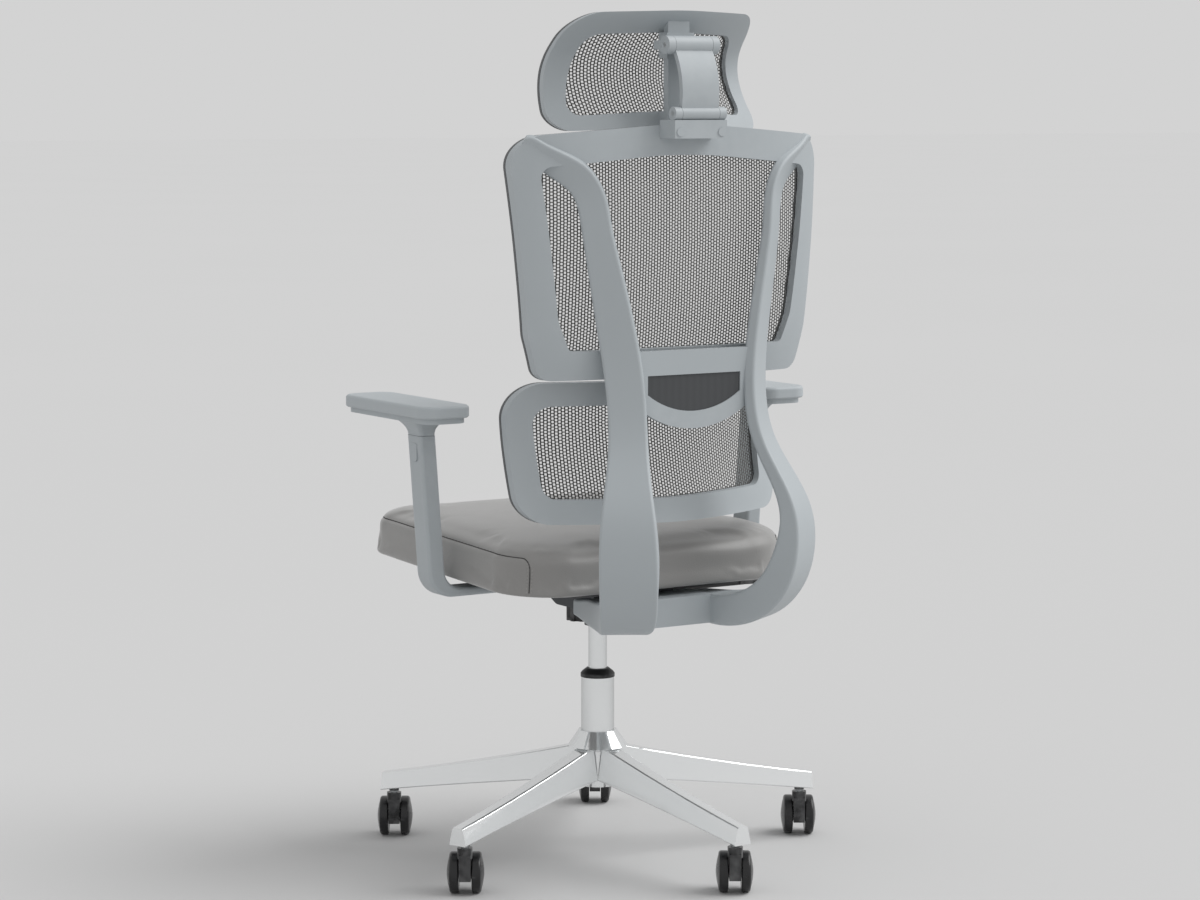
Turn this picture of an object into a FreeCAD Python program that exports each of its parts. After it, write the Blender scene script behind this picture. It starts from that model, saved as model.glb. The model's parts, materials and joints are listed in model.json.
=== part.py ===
"""High-back task chair with a mesh back, adjustable headrest, five-star base and twin-wheel casters.

Frame: millimetres, +Z up, the chair faces -Y and the sitter's left is +X.
The origin is on the floor under the gas-lift axis.
"""
import FreeCAD, Part

import math
import os
import re

import Sketcher

V = FreeCAD.Vector
doc = FreeCAD.newDocument("task_chair")

# ---------------------------------------------------------------- driving dimensions
DIMENSIONS = {
    # base and casters
    "stem_circle": 330.0,
    "base_turn": 31.2,
    "caster_headroom": 16.0,
    "leg_tip_height": 26.0,
    "leg_root_top": 168.0,
    "leg_root_bottom": 116.0,
    "leg_root_width": 32.0,
    "leg_tip_width": 24.0,
    "leg_tip_reach": 17.0,
    "leg_flare": 3.0,
    "hub_wall": 4.0,
    "hub_bottom": 106.0,
    "hub_top": 190.0,
    "hub_skirt_height": 18.0,
    "hub_skirt_step": 2.0,
    "sleeve_radius": 7.5,
    "sleeve_length": 22.0,
    "wheel_diameter": 60.0,
    "wheel_width": 14.0,
    "wheel_gap": 19.0,
    "wheel_crown": 2.5,
    "wheel_shoulder": 5.0,
    "caster_turn": 32.0,
    "caster_trail": 20.0,
    "caster_stem_radius": 5.5,
    "caster_collar_radius": 11.0,
    "caster_collar_gap": 5.0,
    "caster_hood_width": 17.0,
    "caster_hood_bottom": 22.0,
    "axle_radius": 3.0,
    # gas lift
    "tube_radius": 25.0,
    "tube_top": 271.0,
    "tube_wall": 1.5,
    "guide_step": 1.6,
    "guide_top": 284.0,
    "piston_radius": 14.0,
    "piston_top": 396.0,
    "piston_length": 222.0,
    "valve_radius": 4.0,
    "valve_rise": 7.0,
    "running_gap": 0.06,
    # tilt mechanism
    "housing_half_width": 44.0,
    "housing_front": -74.0,
    "housing_rear": 140.0,
    "housing_bottom": 378.0,
    "housing_top": 422.0,
    "housing_wall": 3.0,
    "socket_radius": 20.0,
    "socket_bottom": 350.0,
    "recline_y": 118.0,
    "recline_z": 400.0,
    "recline_pin_radius": 6.0,
    "pin_overhang": 46.0,
    "pivot_boss_radius": 14.0,
    "web_half_width": 68.0,
    "web_rear": 208.0,
    "web_drop": 24.0,
    "web_height": 42.0,
    "rib_thickness": 4.0,
    "rib_depth": 30.0,
    "plate_half_width": 92.0,
    "plate_front": -110.0,
    "plate_rear": 96.0,
    "plate_thickness": 4.0,
    "knob_radius": 21.0,
    "knob_height": 24.0,
    "knob_offset": 24.0,
    "knob_stem_radius": 5.0,
    "lever_overhang": 25.0,
    "lever_y": 28.0,
    "lever_z": 398.0,
    "lever_rod_radius": 4.0,
    "lever_pivot_inset": 6.0,
    "lever_barrel_radius": 6.0,
    "lever_barrel_half": 9.0,
    "lug_thickness": 5.4,
    "trunnion_radius": 3.0,
    "paddle_length": 42.0,
    "paddle_thickness": 5.0,
    # seat
    "seat_half_width": 254.0,
    "seat_front": -290.0,
    "seat_rear": 200.0,
    "seat_front_radius": 60.0,
    "seat_rear_radius": 100.0,
    "seat_thickness": 72.0,
    "seat_base_z": 433.5,
    "seat_pitch": 2.3,
    "pan_thickness": 11.0,
    "pan_margin": 24.0,
    # armrests
    "arm_clearance": 10.0,
    "arm_lean": 16.0,
    "arm_y": -14.0,
    "arm_depth": 41.0,
    "arm_thick": 26.0,
    "arm_low_z": 430.0,
    "arm_seam_z": 652.0,
    "arm_root_x": 98.0,
    "arm_edge_radius": 5.0,
    "elbow_radius": 40.0,
    "elbow_inner_radius": 28.0,
    "foot_thickness": 13.0,
    "foot_reach": 52.0,
    "inner_post_depth": 27.0,
    "inner_post_thick": 13.0,
    "slide_play": 0.08,
    "cavity_low_z": 500.0,
    "slide_rest": 3.0,
    "flare_thick": 28.0,
    "flare_depth": 34.0,
    "support_thickness": 8.0,
    "support_inset": 7.0,
    "pad_half_width": 41.0,
    "pad_front": -188.0,
    "pad_rear": 76.0,
    "pad_thickness": 18.0,
    "pad_top": 701.0,
    "pad_corner": 26.0,
    "pad_edge_radius": 5.0,
    "button_z": 628.0,
    "button_width": 15.0,
    "button_height": 26.0,
    "button_rise": 1.2,
    # tall back ring
    "upper_half_top": 264.0,
    "upper_half_waist": 237.0,
    "upper_half_bottom": 219.0,
    "upper_top_z": 1104.0,
    "upper_shoulder_z": 1084.0,
    "upper_waist_z": 806.0,
    "upper_bottom_z": 742.0,
    "upper_bow": 50.0,
    "ring_rail": 42.0,
    "ring_side": 38.0,
    "ring_thickness": 16.0,
    "carrier_thickness": 5.0,
    "mesh_thickness": 1.2,
    "mesh_grip": 8.0,
    "sheet_gap": 0.1,
    "blade_edge_radius": 4.0,
    # short back ring
    "lower_half_top": 229.0,
    "lower_half_bottom": 222.0,
    "lower_top_z": 734.0,
    "lower_bottom_z": 530.0,
    "lower_bow": 66.0,
    "lower_rail": 34.0,
    "lower_thickness": 15.0,
    # cross panel
    "panel_half_width": 104.0,
    "panel_top_z": 783.0,
    "panel_end_z": 712.0,
    "panel_low_z": 670.0,
    "panel_rear_y": 261.0,
    "panel_thickness": 9.0,
    "window_half_width": 79.0,
    "window_top_z": 748.0,
    "window_end_z": 721.0,
    "window_low_z": 695.0,
    "standoff_x": 60.0,
    "standoff_radius": 9.0,
    "upper_standoff_z": 766.0,
    "lower_standoff_z": 716.0,
    # headrest
    "head_half_top": 153.0,
    "head_half_bottom": 180.0,
    "head_top_z": 1262.0,
    "head_bottom_z": 1091.0,
    "head_bow": 52.0,
    "head_rail": 30.0,
    "head_low_rail": 22.0,
    "head_thickness": 11.0,
    "rail_width": 36.0,
    "rail_front": 206.0,
    "rail_depth": 12.0,
    "rail_low_z": 1106.0,
    "rail_high_z": 1252.0,
    "slider_height": 36.0,
    "slider_wall": 5.0,
    "neck_low_y": 268.0,
    "neck_low_z": 1117.0,
    "neck_high_y": 247.0,
    "neck_high_z": 1213.0,
    "neck_width": 62.0,
    "neck_plate": 8.0,
    "neck_bulge": 12.0,
    "knuckle_radius": 9.5,
    "high_knuckle_radius": 13.0,
    "knuckle_length": 12.0,
    "neck_pin_radius": 3.5,
    "bracket_width": 88.0,
    "bracket_bottom": 1082.0,
    "bracket_top": 1108.0,
    "cap_radius": 6.0,
    "cap_rise": 1.5,
    # clearances
    "air": 0.5,
}

sheet = doc.addObject("Spreadsheet::Sheet", "dimensions")
for row, (alias, number) in enumerate(DIMENSIONS.items(), start=1):
    sheet.set(f"A{row}", alias)
    sheet.set(f"B{row}", repr(number))
    sheet.setAlias(f"B{row}", alias)
doc.recompute()

nodes = {}

# ---------------------------------------------------------------- document helpers


def dim(alias):
    """The number that the sheet holds under this alias."""
    return float(getattr(sheet, alias))


def linked(text):
    """An expression in which each alias points at its cell of the sheet."""
    return re.sub(r"[a-z_]+", lambda word: "dimensions." + word[0] if word[0] in DIMENSIONS else word[0],
                  text)


def value(text):
    return float(sheet.evalExpression(linked(text)))


def bind(obj, **expressions):
    """Binds properties to the sheet; x, y and z stand for the placement's base."""
    for name, text in expressions.items():
        path = ".Placement.Base." + name if name in "xyz" else name
        obj.setExpression(path, linked(text))
    return obj


def keep(label, obj):
    """Names a finished document object as a node that is written to its own file."""
    obj.Label = label
    nodes[label] = obj
    return obj


def feature(label, shape):
    """A sculpted node: its shape is worked out from the sheet's values by Part's functions."""
    obj = doc.addObject("Part::Feature", label + "_shape")
    obj.Shape = shape
    return keep(label, obj)


def primitive(kind, name, rotation=None, **expressions):
    obj = doc.addObject("Part::" + kind, name)
    if rotation is not None:
        obj.Placement = FreeCAD.Placement(V(), rotation)
    return bind(obj, **expressions)


def fuse(name, *shapes):
    obj = doc.addObject("Part::MultiFuse", name)
    obj.Shapes = list(shapes)
    return obj


def cut(name, base, *tools):
    obj = doc.addObject("Part::Cut", name)
    obj.Base = base
    obj.Tool = tools[0] if len(tools) == 1 else fuse(name + "_tools", *tools)
    return obj


def sketch_outline(body, plane, corners):
    """A closed outline on one of the body's own planes; each corner is a pair of expressions."""
    sketch = body.newObject("Sketcher::SketchObject", body.Name + "_outline")
    origin = next(item for item in body.Origin.OriginFeatures if item.Role == plane)
    sketch.AttachmentSupport = [(origin, "")]
    sketch.MapMode = "FlatFace"
    spots = [V(value(a), value(b), 0) for a, b in corners]
    count = len(spots)
    for i in range(count):
        sketch.addGeometry(Part.LineSegment(spots[i], spots[(i + 1) % count]), False)
    for i in range(count):
        sketch.addConstraint(Sketcher.Constraint("Coincident", i, 2, (i + 1) % count, 1))
        for kind, text in zip(("DistanceX", "DistanceY"), corners[i]):
            index = sketch.addConstraint(Sketcher.Constraint(kind, -1, 1, i, 1, value(text)))
            sketch.setExpression(f"Constraints[{index}]", linked(text))
    return sketch


def turned_body(label, corners):
    """A PartDesign body turned about its vertical axis from a half section."""
    body = doc.addObject("PartDesign::Body", label + "_body")
    sketch = sketch_outline(body, "XZ_Plane", corners)
    turn = body.newObject("PartDesign::Revolution", label + "_turn")
    turn.Profile = sketch
    turn.ReferenceAxis = (sketch, ["V_Axis"])
    turn.Angle = 360
    return keep(label, body)


def padded_body(label, corners, length, low):
    """A PartDesign body padded straight up from a plan outline."""
    body = doc.addObject("PartDesign::Body", label + "_body")
    sketch = sketch_outline(body, "XY_Plane", corners)
    pad = body.newObject("PartDesign::Pad", label + "_pad")
    pad.Profile = sketch
    bind(pad, Length=length)
    bind(body, z=low)
    return keep(label, body)


# ---------------------------------------------------------------- geometry helpers


def unit(v):
    out = V(v)
    out.normalize()
    return out


def rounded_polygon(points, radii):
    """A closed wire through flat points, each corner rounded by its own radius."""
    count = len(points)
    starts = []
    ends = []
    arcs = []
    for i, p in enumerate(points):
        before = unit(points[i - 1] - p)
        after = unit(points[(i + 1) % count] - p)
        half = before.getAngle(after) / 2
        reach = radii[i] / math.tan(half)
        starts.append(p + before * reach)
        ends.append(p + after * reach)
        if radii[i] > 0 and half < math.pi / 2 - 0.001:
            middle = p + unit(before + after) * (radii[i] / math.sin(half) - radii[i])
            arcs.append(Part.Arc(starts[i], middle, ends[i]).toShape())
        else:
            arcs.append(None)
    edges = []
    for i in range(count):
        if arcs[i] is not None:
            edges.append(arcs[i])
        following = starts[(i + 1) % count]
        if (following - ends[i]).Length > 0.001:
            edges.append(Part.LineSegment(ends[i], following).toShape())
    return Part.Wire(edges)


def turned(points):
    """A solid turned about Z from (radius, height) pairs."""
    wire = Part.makePolygon([V(r, 0, z) for r, z in points + points[:1]])
    return Part.Face(wire).revolve(V(), V(0, 0, 1), 360)


def curved_face(spots):
    """A flat face whose outline runs through the spots; a pair of spots is an arc's middle and end."""
    edges = []
    here = spots[0]
    for spot in spots[1:] + spots[:1]:
        if isinstance(spot, tuple):
            edges.append(Part.Arc(here, *spot).toShape())
            here = spot[1]
        else:
            edges.append(Part.LineSegment(here, spot).toShape())
            here = spot
    return Part.Face(Part.Wire(edges))


def smooth(table, z):
    """Piecewise cubic through (z, y) pairs with averaged slopes, for a side profile."""
    last = len(table) - 1
    slopes = []
    for i in range(last + 1):
        low = table[max(i - 1, 0)]
        high = table[min(i + 1, last)]
        slopes.append((high[1] - low[1]) / (high[0] - low[0]))
    i = max(k for k in range(last) if table[k][0] <= z or k == 0)
    (z0, y0), (z1, y1) = table[i], table[i + 1]
    gap = z1 - z0
    t = (z - z0) / gap
    return (y0 * (1 + 2 * t) * (1 - t) ** 2 + y1 * t * t * (3 - 2 * t)
            + gap * t * (1 - t) * (slopes[i] * (1 - t) - slopes[i + 1] * t))


class Curved:
    """A curved sheet y(x, z): a side profile that bows forward towards both edges."""

    def __init__(self, profile, bow, half, power):
        self.profile = profile
        self.bow = bow
        self.half = half
        self.power = power

    def y(self, x, z):
        return smooth(self.profile, z) - self.bow * abs(x / self.half) ** self.power

    def slab(self, front, rear):
        """The solid between two copies of the sheet, moved in Y by front and rear."""
        low = self.profile[0][0]
        high = self.profile[-1][0]
        reach = self.half * 1.15
        grid = [[V(x, self.y(x, z) + front, z)
                 for z in [low + (high - low) * k / 14 for k in range(15)]]
                for x in [reach * (k / 6 - 1) for k in range(13)]]
        surface = Part.BSplineSurface()
        surface.interpolate(grid)
        return surface.toShape().extrude(V(0, rear - front, 0))

    def panel(self, outline, front, rear):
        return self.slab(front, rear).common(through(outline))

    def ring(self, outline, window, front, rear):
        return self.panel(outline, front, rear).cut(through(window))


def through(wire):
    """The flat outline in XZ extruded along Y, well past everything."""
    moved = wire.copy()
    moved.translate(V(0, -300, 0))
    return Part.Face(moved).extrude(V(0, 900, 0))


def mirrored_outline(half_points, radii):
    """A closed XZ wire from its right half, listed from the bottom to the top."""
    right = [V(x, 0, z) for x, z in half_points]
    left = [V(-x, 0, z) for x, z in half_points if x > 0]
    left_radii = [r for (x, z), r in zip(half_points, radii) if x > 0]
    return rounded_polygon(right + left[::-1], radii + left_radii[::-1])


def section(centre, across, out, width, depth, radius):
    """A rounded rectangle: width along across, depth along out."""
    a = across * (width / 2)
    b = out * (depth / 2)
    corners = [centre - a - b, centre + a - b, centre + a + b, centre - a + b]
    return rounded_polygon(corners, [radius] * 4)


def both_sides(shape):
    """The shape and its mirror image across the middle plane."""
    return [shape, shape.mirror(V(), V(1, 0, 0))]


def compound(shapes):
    return Part.makeCompound(shapes)


# ---------------------------------------------------------------- five-star base


def leg_tip_bottom():
    """Height of the legs' undersides over the casters."""
    return dim("wheel_diameter") + dim("caster_headroom")


def leg_tip_top():
    return leg_tip_bottom() + dim("leg_tip_height")


def leg_angle(index):
    """Plan angle of a base leg, in degrees."""
    return -90.0 - dim("base_turn") + 72.0 * index


def stem_spot(index):
    angle = math.radians(leg_angle(index))
    return V(dim("stem_circle") * math.cos(angle), dim("stem_circle") * math.sin(angle), 0)


def base_leg():
    """One leg along +X: a tapered section, wider at its foot, that drops to the tip."""
    root_x = dim("tube_radius") + 1
    middle_x = dim("stem_circle") * 0.5
    tip_x = dim("stem_circle") + dim("leg_tip_reach")
    rise = dim("leg_root_top") - leg_tip_top()
    stations = (
        (root_x, dim("leg_root_top"), dim("leg_root_bottom"), dim("leg_root_width")),
        (middle_x, leg_tip_top() + rise * 0.52, leg_tip_bottom() + 24, dim("leg_root_width") - 4),
        (tip_x, leg_tip_top(), leg_tip_bottom(), dim("leg_tip_width")),
    )
    flare = dim("leg_flare")
    wires = []
    for x, top, bottom, width in stations:
        half = width / 2
        corners = [V(x, -half - flare, bottom), V(x, half + flare, bottom), V(x, half - flare, top),
                   V(x, flare - half, top)]
        wires.append(rounded_polygon(corners, [1.5, 1.5, 3.0, 3.0]))
    leg = Part.makeLoft(wires, True, False)
    hole = Part.makeCylinder(dim("sleeve_radius"), dim("sleeve_length"),
                             V(dim("stem_circle"), 0, leg_tip_bottom() - 5))
    return leg.cut(hole)


def star_base():
    skirt = dim("hub_bottom") + dim("hub_skirt_height")
    radius = dim("tube_radius") + dim("hub_wall")
    skirt_radius = radius + dim("hub_skirt_step")
    hub = turned([(0, dim("hub_bottom")), (skirt_radius, dim("hub_bottom")), (skirt_radius, skirt),
                  (radius, skirt + 2), (radius, dim("leg_root_top") - 8),
                  (radius + 16, dim("leg_root_top") - 2), (radius + 12, dim("leg_root_top") + 4),
                  (radius, dim("hub_top")), (0, dim("hub_top"))])
    legs = []
    for k in range(5):
        leg = base_leg()
        leg.rotate(V(), V(0, 0, 1), leg_angle(k))
        legs.append(leg)
    bore = Part.makeCylinder(dim("tube_radius"), dim("tube_top"))
    return hub.multiFuse(legs).cut(bore)


feature("star_base", star_base())

tube_outside = primitive("Cylinder", "tube_outside", Radius="tube_radius",
                         Height="tube_top - hub_bottom - 2", z="hub_bottom + 2")
tube_inside = primitive("Cylinder", "tube_inside", Radius="tube_radius - tube_wall", Height="tube_top",
                        z="hub_bottom + 2 + tube_wall")
keep("gas_cylinder_tube", cut("tube_shell", tube_outside, tube_inside))

turned_body("cylinder_guide_bush", [
    ("piston_radius + running_gap", "tube_top - 45"),
    ("tube_radius - tube_wall", "tube_top - 45"),
    ("tube_radius - tube_wall", "tube_top"),
    ("tube_radius + 0.8", "tube_top"),
    ("tube_radius + 0.8", "tube_top + 5"),
    ("tube_radius - guide_step", "tube_top + 8"),
    ("piston_radius + 3", "guide_top"),
    ("piston_radius + running_gap", "guide_top")])


def stem_sleeve(index):
    spot = stem_spot(index) + V(0, 0, leg_tip_bottom() - 2)
    outside = Part.makeCylinder(dim("sleeve_radius"), dim("sleeve_length") - 3, spot)
    bore = Part.makeCylinder(dim("caster_stem_radius") + dim("running_gap"), dim("sleeve_length"),
                             spot - V(0, 0, 1.5))
    return outside.cut(bore)


feature("caster_stem_sleeves", compound([stem_sleeve(k) for k in range(5)]))

# ---------------------------------------------------------------- casters


def caster_shapes():
    """One caster with its stem on Z, its wheels behind it on +X and its axle along Y."""
    radius = dim("wheel_diameter") / 2
    trail = dim("caster_trail")
    half = dim("caster_hood_width") / 2
    low = dim("caster_hood_bottom")
    crown = dim("wheel_diameter") - 4.8
    side = [V(-11, -half, low), V(trail + 8, -half, low), V(trail + 20, -half, radius + 4),
            V(trail + 10, -half, crown), V(8, -half, crown + 7), V(-11, -half, crown + 7)]
    hood = Part.Face(rounded_polygon(side, [3, 5, 8, 12, 4, 4])).extrude(V(0, 2 * half, 0))
    collar_top = leg_tip_bottom() - dim("caster_collar_gap")
    collar = Part.makeCylinder(dim("caster_collar_radius"), collar_top - crown, V(0, 0, crown))
    stem_low = radius + dim("axle_radius") + 7
    stem_top = leg_tip_bottom() - 4 + dim("sleeve_length") - 5
    stem = Part.makeCylinder(dim("caster_stem_radius"), stem_top - stem_low, V(0, 0, stem_low))
    reach = dim("wheel_gap") / 2 + dim("wheel_width") - 4
    axle = Part.makeCylinder(dim("axle_radius"), 2 * reach, V(trail, -reach, radius), V(0, 1, 0))
    hood = hood.fuse(collar).cut(stem).cut(axle)
    width = dim("wheel_width")
    bore = dim("axle_radius") + dim("running_gap")
    crest = width + dim("wheel_crown") + 1
    soft = dim("wheel_shoulder")
    rim = V(radius - soft, 0, width - 0.5)
    wheel_half = curved_face([
        V(bore, 0, 0), V(radius - 2, 0, 0), (V(radius - 0.6, 0, 0.6), V(radius, 0, 2)),
        V(radius, 0, width - soft), (V(radius - soft * 0.27, 0, width - soft * 0.32), rim),
        (V(rim.x * 0.55, 0, width + dim("wheel_crown") * 0.85), V(bore, 0, crest)),
        V(0, 0, crest), V(0, 0, width - 3), V(bore, 0, width - 3)])
    wheel = wheel_half.revolve(V(), V(0, 0, 1), 360)
    wheels = []
    for turn, sign in ((-90, 1), (90, -1)):
        one = wheel.copy()
        one.rotate(V(), V(1, 0, 0), turn)
        one.translate(V(trail, sign * dim("wheel_gap") / 2, radius))
        wheels.append(one)
    return {"housing": hood, "stem": compound([stem, axle]), "wheel_left": wheels[0],
            "wheel_right": wheels[1]}


def casters():
    shapes = caster_shapes()
    for k in range(5):
        for name, shape in shapes.items():
            moved = shape.copy()
            moved.rotate(V(), V(0, 0, 1), -90.0 - dim("caster_turn"))
            moved.translate(stem_spot(k))
            feature(f"caster_{k + 1}_{name}", moved)


casters()

# ---------------------------------------------------------------- gas-lift piston

turned_body("gas_piston", [
    ("0", "piston_top - piston_length"),
    ("piston_radius", "piston_top - piston_length"),
    ("piston_radius", "piston_top - 30"),
    ("piston_radius - 1", "piston_top"),
    ("valve_radius + running_gap", "piston_top"),
    ("valve_radius + running_gap", "piston_top - 15"),
    ("0", "piston_top - 15")])
keep("valve_button", primitive("Cylinder", "valve_pin", Radius="valve_radius", Height="valve_rise + 12",
                               z="piston_top - 12"))

# ---------------------------------------------------------------- tilt mechanism


def lever_pivot():
    return V(dim("lever_pivot_inset") - dim("housing_half_width"), dim("lever_y"), dim("lever_z"))


def lever_trunnion(radius, extra):
    """The lever's round pivot along Y, reaching through both lugs."""
    half = dim("lever_barrel_half") + dim("air") + dim("lug_thickness") + extra
    return Part.makeCylinder(radius, 2 * half, lever_pivot() - V(0, half, 0), V(0, 1, 0))


def lever_lugs():
    """Two lugs inside the housing's wall that hold the lever's pivot."""
    start = dim("lever_barrel_half") + dim("air")
    wall_x = dim("housing_wall") - dim("housing_half_width")
    reach = dim("lever_pivot_inset") + 3
    lugs = []
    for y in (start, -start - dim("lug_thickness")):
        lugs.append(Part.makeBox(reach, dim("lug_thickness"), 16,
                                 V(wall_x - 0.5, dim("lever_y") + y, dim("lever_z") - 8)))
    return lugs


def housing():
    """A pressed box, open at the top, with a round socket for the piston's taper."""
    half = dim("housing_half_width")
    wall = dim("housing_wall")
    front = dim("housing_front")
    rear = dim("housing_rear")
    low = dim("housing_bottom")
    top = dim("housing_top")
    side = [V(-half, front, top), V(-half, front, low + 12), V(-half, front + 26, low),
            V(-half, rear - 20, low), V(-half, rear, low + 10), V(-half, rear, top)]
    solid = Part.Face(rounded_polygon(side, [0, 6, 20, 20, 6, 0])).extrude(V(2 * half, 0, 0))
    inner = Part.makeBox(2 * (half - wall), rear - front - 40, top,
                         V(wall - half, front + 20, low + wall))
    piston_top = dim("piston_top")
    socket = Part.makeCylinder(dim("socket_radius"), piston_top - dim("socket_bottom") + 6,
                               V(0, 0, dim("socket_bottom")))
    bore = dim("piston_radius") + dim("running_gap")
    taper = Part.makeCone(bore, bore - 1, 30, V(0, 0, piston_top - 30))
    shaft = Part.makeCylinder(bore, 40, V(0, 0, piston_top - 70))
    over = Part.makeCylinder(bore - 1, 60, V(0, 0, piston_top))
    pin = Part.makeCylinder(dim("recline_pin_radius"), 4 * half,
                            V(-2 * half, dim("recline_y"), dim("recline_z")), V(1, 0, 0))
    slot = Part.makeBox(half, 22, 18, V(-half - 10, dim("lever_y") - 11, dim("lever_z") - 9))
    knob = Part.makeCylinder(dim("knob_stem_radius") + dim("running_gap"), 60,
                             V(0, front + dim("knob_offset"), low - 20))
    boss = Part.makeCylinder(dim("knob_stem_radius") + 5, 24, V(0, front + dim("knob_offset"), low))
    solid = solid.cut(inner).fuse(socket).fuse(boss)
    solid = solid.cut(taper).cut(shaft).cut(over).cut(pin).cut(slot).cut(knob)
    return solid.multiFuse(lever_lugs()).cut(lever_trunnion(dim("trunnion_radius") + dim("running_gap"), 1))


feature("tilt_housing", housing())
pin_reach = dim("housing_half_width") + dim("pin_overhang")
feature("recline_pin", Part.makeCylinder(dim("recline_pin_radius"), 2 * pin_reach,
                                         V(-pin_reach, dim("recline_y"), dim("recline_z")), V(1, 0, 0)))

padded_body("seat_plate", [("-plate_half_width", "plate_front"), ("plate_half_width", "plate_front"),
                           ("plate_half_width", "plate_rear"), ("-plate_half_width", "plate_rear")],
            "plate_thickness", "housing_top")


def tension_knob():
    """A fluted knob on a screw under the front of the housing."""
    low = dim("housing_bottom") - 4
    spot = V(0, dim("housing_front") + dim("knob_offset"), low)
    radius = dim("knob_radius")
    knob = Part.makeCylinder(radius, dim("knob_height"), spot - V(0, 0, dim("knob_height")))
    flutes = []
    for k in range(8):
        angle = math.radians(45 * k)
        away = V(math.cos(angle), math.sin(angle), 0) * (radius + 3)
        flutes.append(Part.makeCylinder(6, dim("knob_height") + 2,
                                        spot + away - V(0, 0, dim("knob_height") + 1)))
    stem = Part.makeCylinder(dim("knob_stem_radius"), 26, spot - V(0, 0, 4))
    return knob.cut(compound(flutes)).fuse(stem)


feature("tension_knob", tension_knob())


def height_lever():
    """A rod on a pivot barrel, out of the housing's side, with a flat paddle at its end."""
    inner_x = lever_pivot().x
    tip_x = -dim("seat_half_width") - dim("lever_overhang")
    paddle_x = tip_x + dim("paddle_length")
    y = dim("lever_y")
    z = dim("lever_z")
    rod = Part.makeCylinder(dim("lever_rod_radius"), inner_x - paddle_x + 10, V(inner_x, y, z),
                            V(-1, 0, 0))
    outline = [V(tip_x, y - 12, z), V(paddle_x, y - 7, z), V(paddle_x, y + 7, z), V(tip_x, y + 12, z)]
    paddle = Part.Face(rounded_polygon(outline, [8, 3, 3, 8])).extrude(V(0, 0, dim("paddle_thickness")))
    paddle.translate(V(0, 0, -dim("paddle_thickness") / 2))
    barrel_half = dim("lever_barrel_half")
    hub = Part.makeCylinder(dim("lever_barrel_radius"), 2 * barrel_half, lever_pivot() - V(0, barrel_half, 0),
                            V(0, 1, 0))
    return rod.multiFuse([paddle, hub, lever_trunnion(dim("trunnion_radius"), 0)])


feature("height_lever", height_lever())

# ---------------------------------------------------------------- seat


def seat_outline(inset):
    """The plan outline of the seat, wider radii at the rear."""
    half = dim("seat_half_width") - inset
    front = dim("seat_front") + inset
    rear = dim("seat_rear") - inset
    points = [V(-half, front, 0), V(half, front, 0), V(half, rear, 0), V(-half, rear, 0)]
    front_radius = dim("seat_front_radius")
    rear_radius = dim("seat_rear_radius")
    return rounded_polygon(points, [front_radius, front_radius, rear_radius, rear_radius])


def seat_slab(inset, low, high):
    """A slab of the seat between two heights above its pitched base plane."""
    slab = Part.Face(seat_outline(inset)).extrude(V(0, 0, high - low))
    slab.translate(V(0, 0, low))
    slab.rotate(V(), V(1, 0, 0), -dim("seat_pitch"))
    slab.translate(V(0, 0, dim("seat_base_z")))
    return slab


def seat_pan():
    board = seat_slab(dim("pan_margin"), 0, dim("pan_thickness"))
    level = dim("housing_top") + dim("plate_thickness")
    half = dim("plate_half_width")
    blocks = [Part.makeBox(2 * half, dim("plate_rear") - dim("plate_front"), 80,
                           V(-half, dim("plate_front"), level))]
    depth = dim("arm_depth")
    foot = dim("foot_reach")
    blocks += both_sides(Part.makeBox(foot, depth, 80, V(dim("arm_root_x"), dim("arm_y") - depth / 2, level)))
    keep_under = seat_slab(dim("pan_margin"), -60, dim("pan_thickness"))
    return board.multiFuse([block.common(keep_under) for block in blocks])


feature("seat_pan", seat_pan())


def seat_cushion():
    body = seat_slab(0, 3, dim("seat_thickness"))
    pocket = seat_slab(dim("pan_margin") - dim("air"), -1, dim("pan_thickness") + dim("air"))
    return body.cut(pocket)


feature("seat_cushion", seat_cushion())

# ---------------------------------------------------------------- armrests


def arm_axis():
    """Unit vector up the left arm's post, which leans outward."""
    return unit(V(dim("arm_lean"), 0, dim("arm_seam_z") - dim("arm_low_z")))


def arm_point(height, outward=0.0, forward=0.0):
    """A point of the left post's centreline at a height, moved out and forward."""
    axis = arm_axis()
    low_x = dim("seat_half_width") + dim("arm_clearance") + dim("arm_thick") / 2
    low = V(low_x, dim("arm_y"), dim("arm_low_z"))
    spot = low + axis * ((height - low.z) / axis.z)
    return spot + V(outward, -forward, 0)


def post_bar(low, high, thick, depth, radius):
    """A straight bar of the post's section between two heights on its leaning axis."""
    wire = section(arm_point(low), V(1, 0, 0), V(0, 1, 0), thick, depth, radius)
    return Part.Face(wire).extrude(arm_point(high) - arm_point(low))


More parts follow.
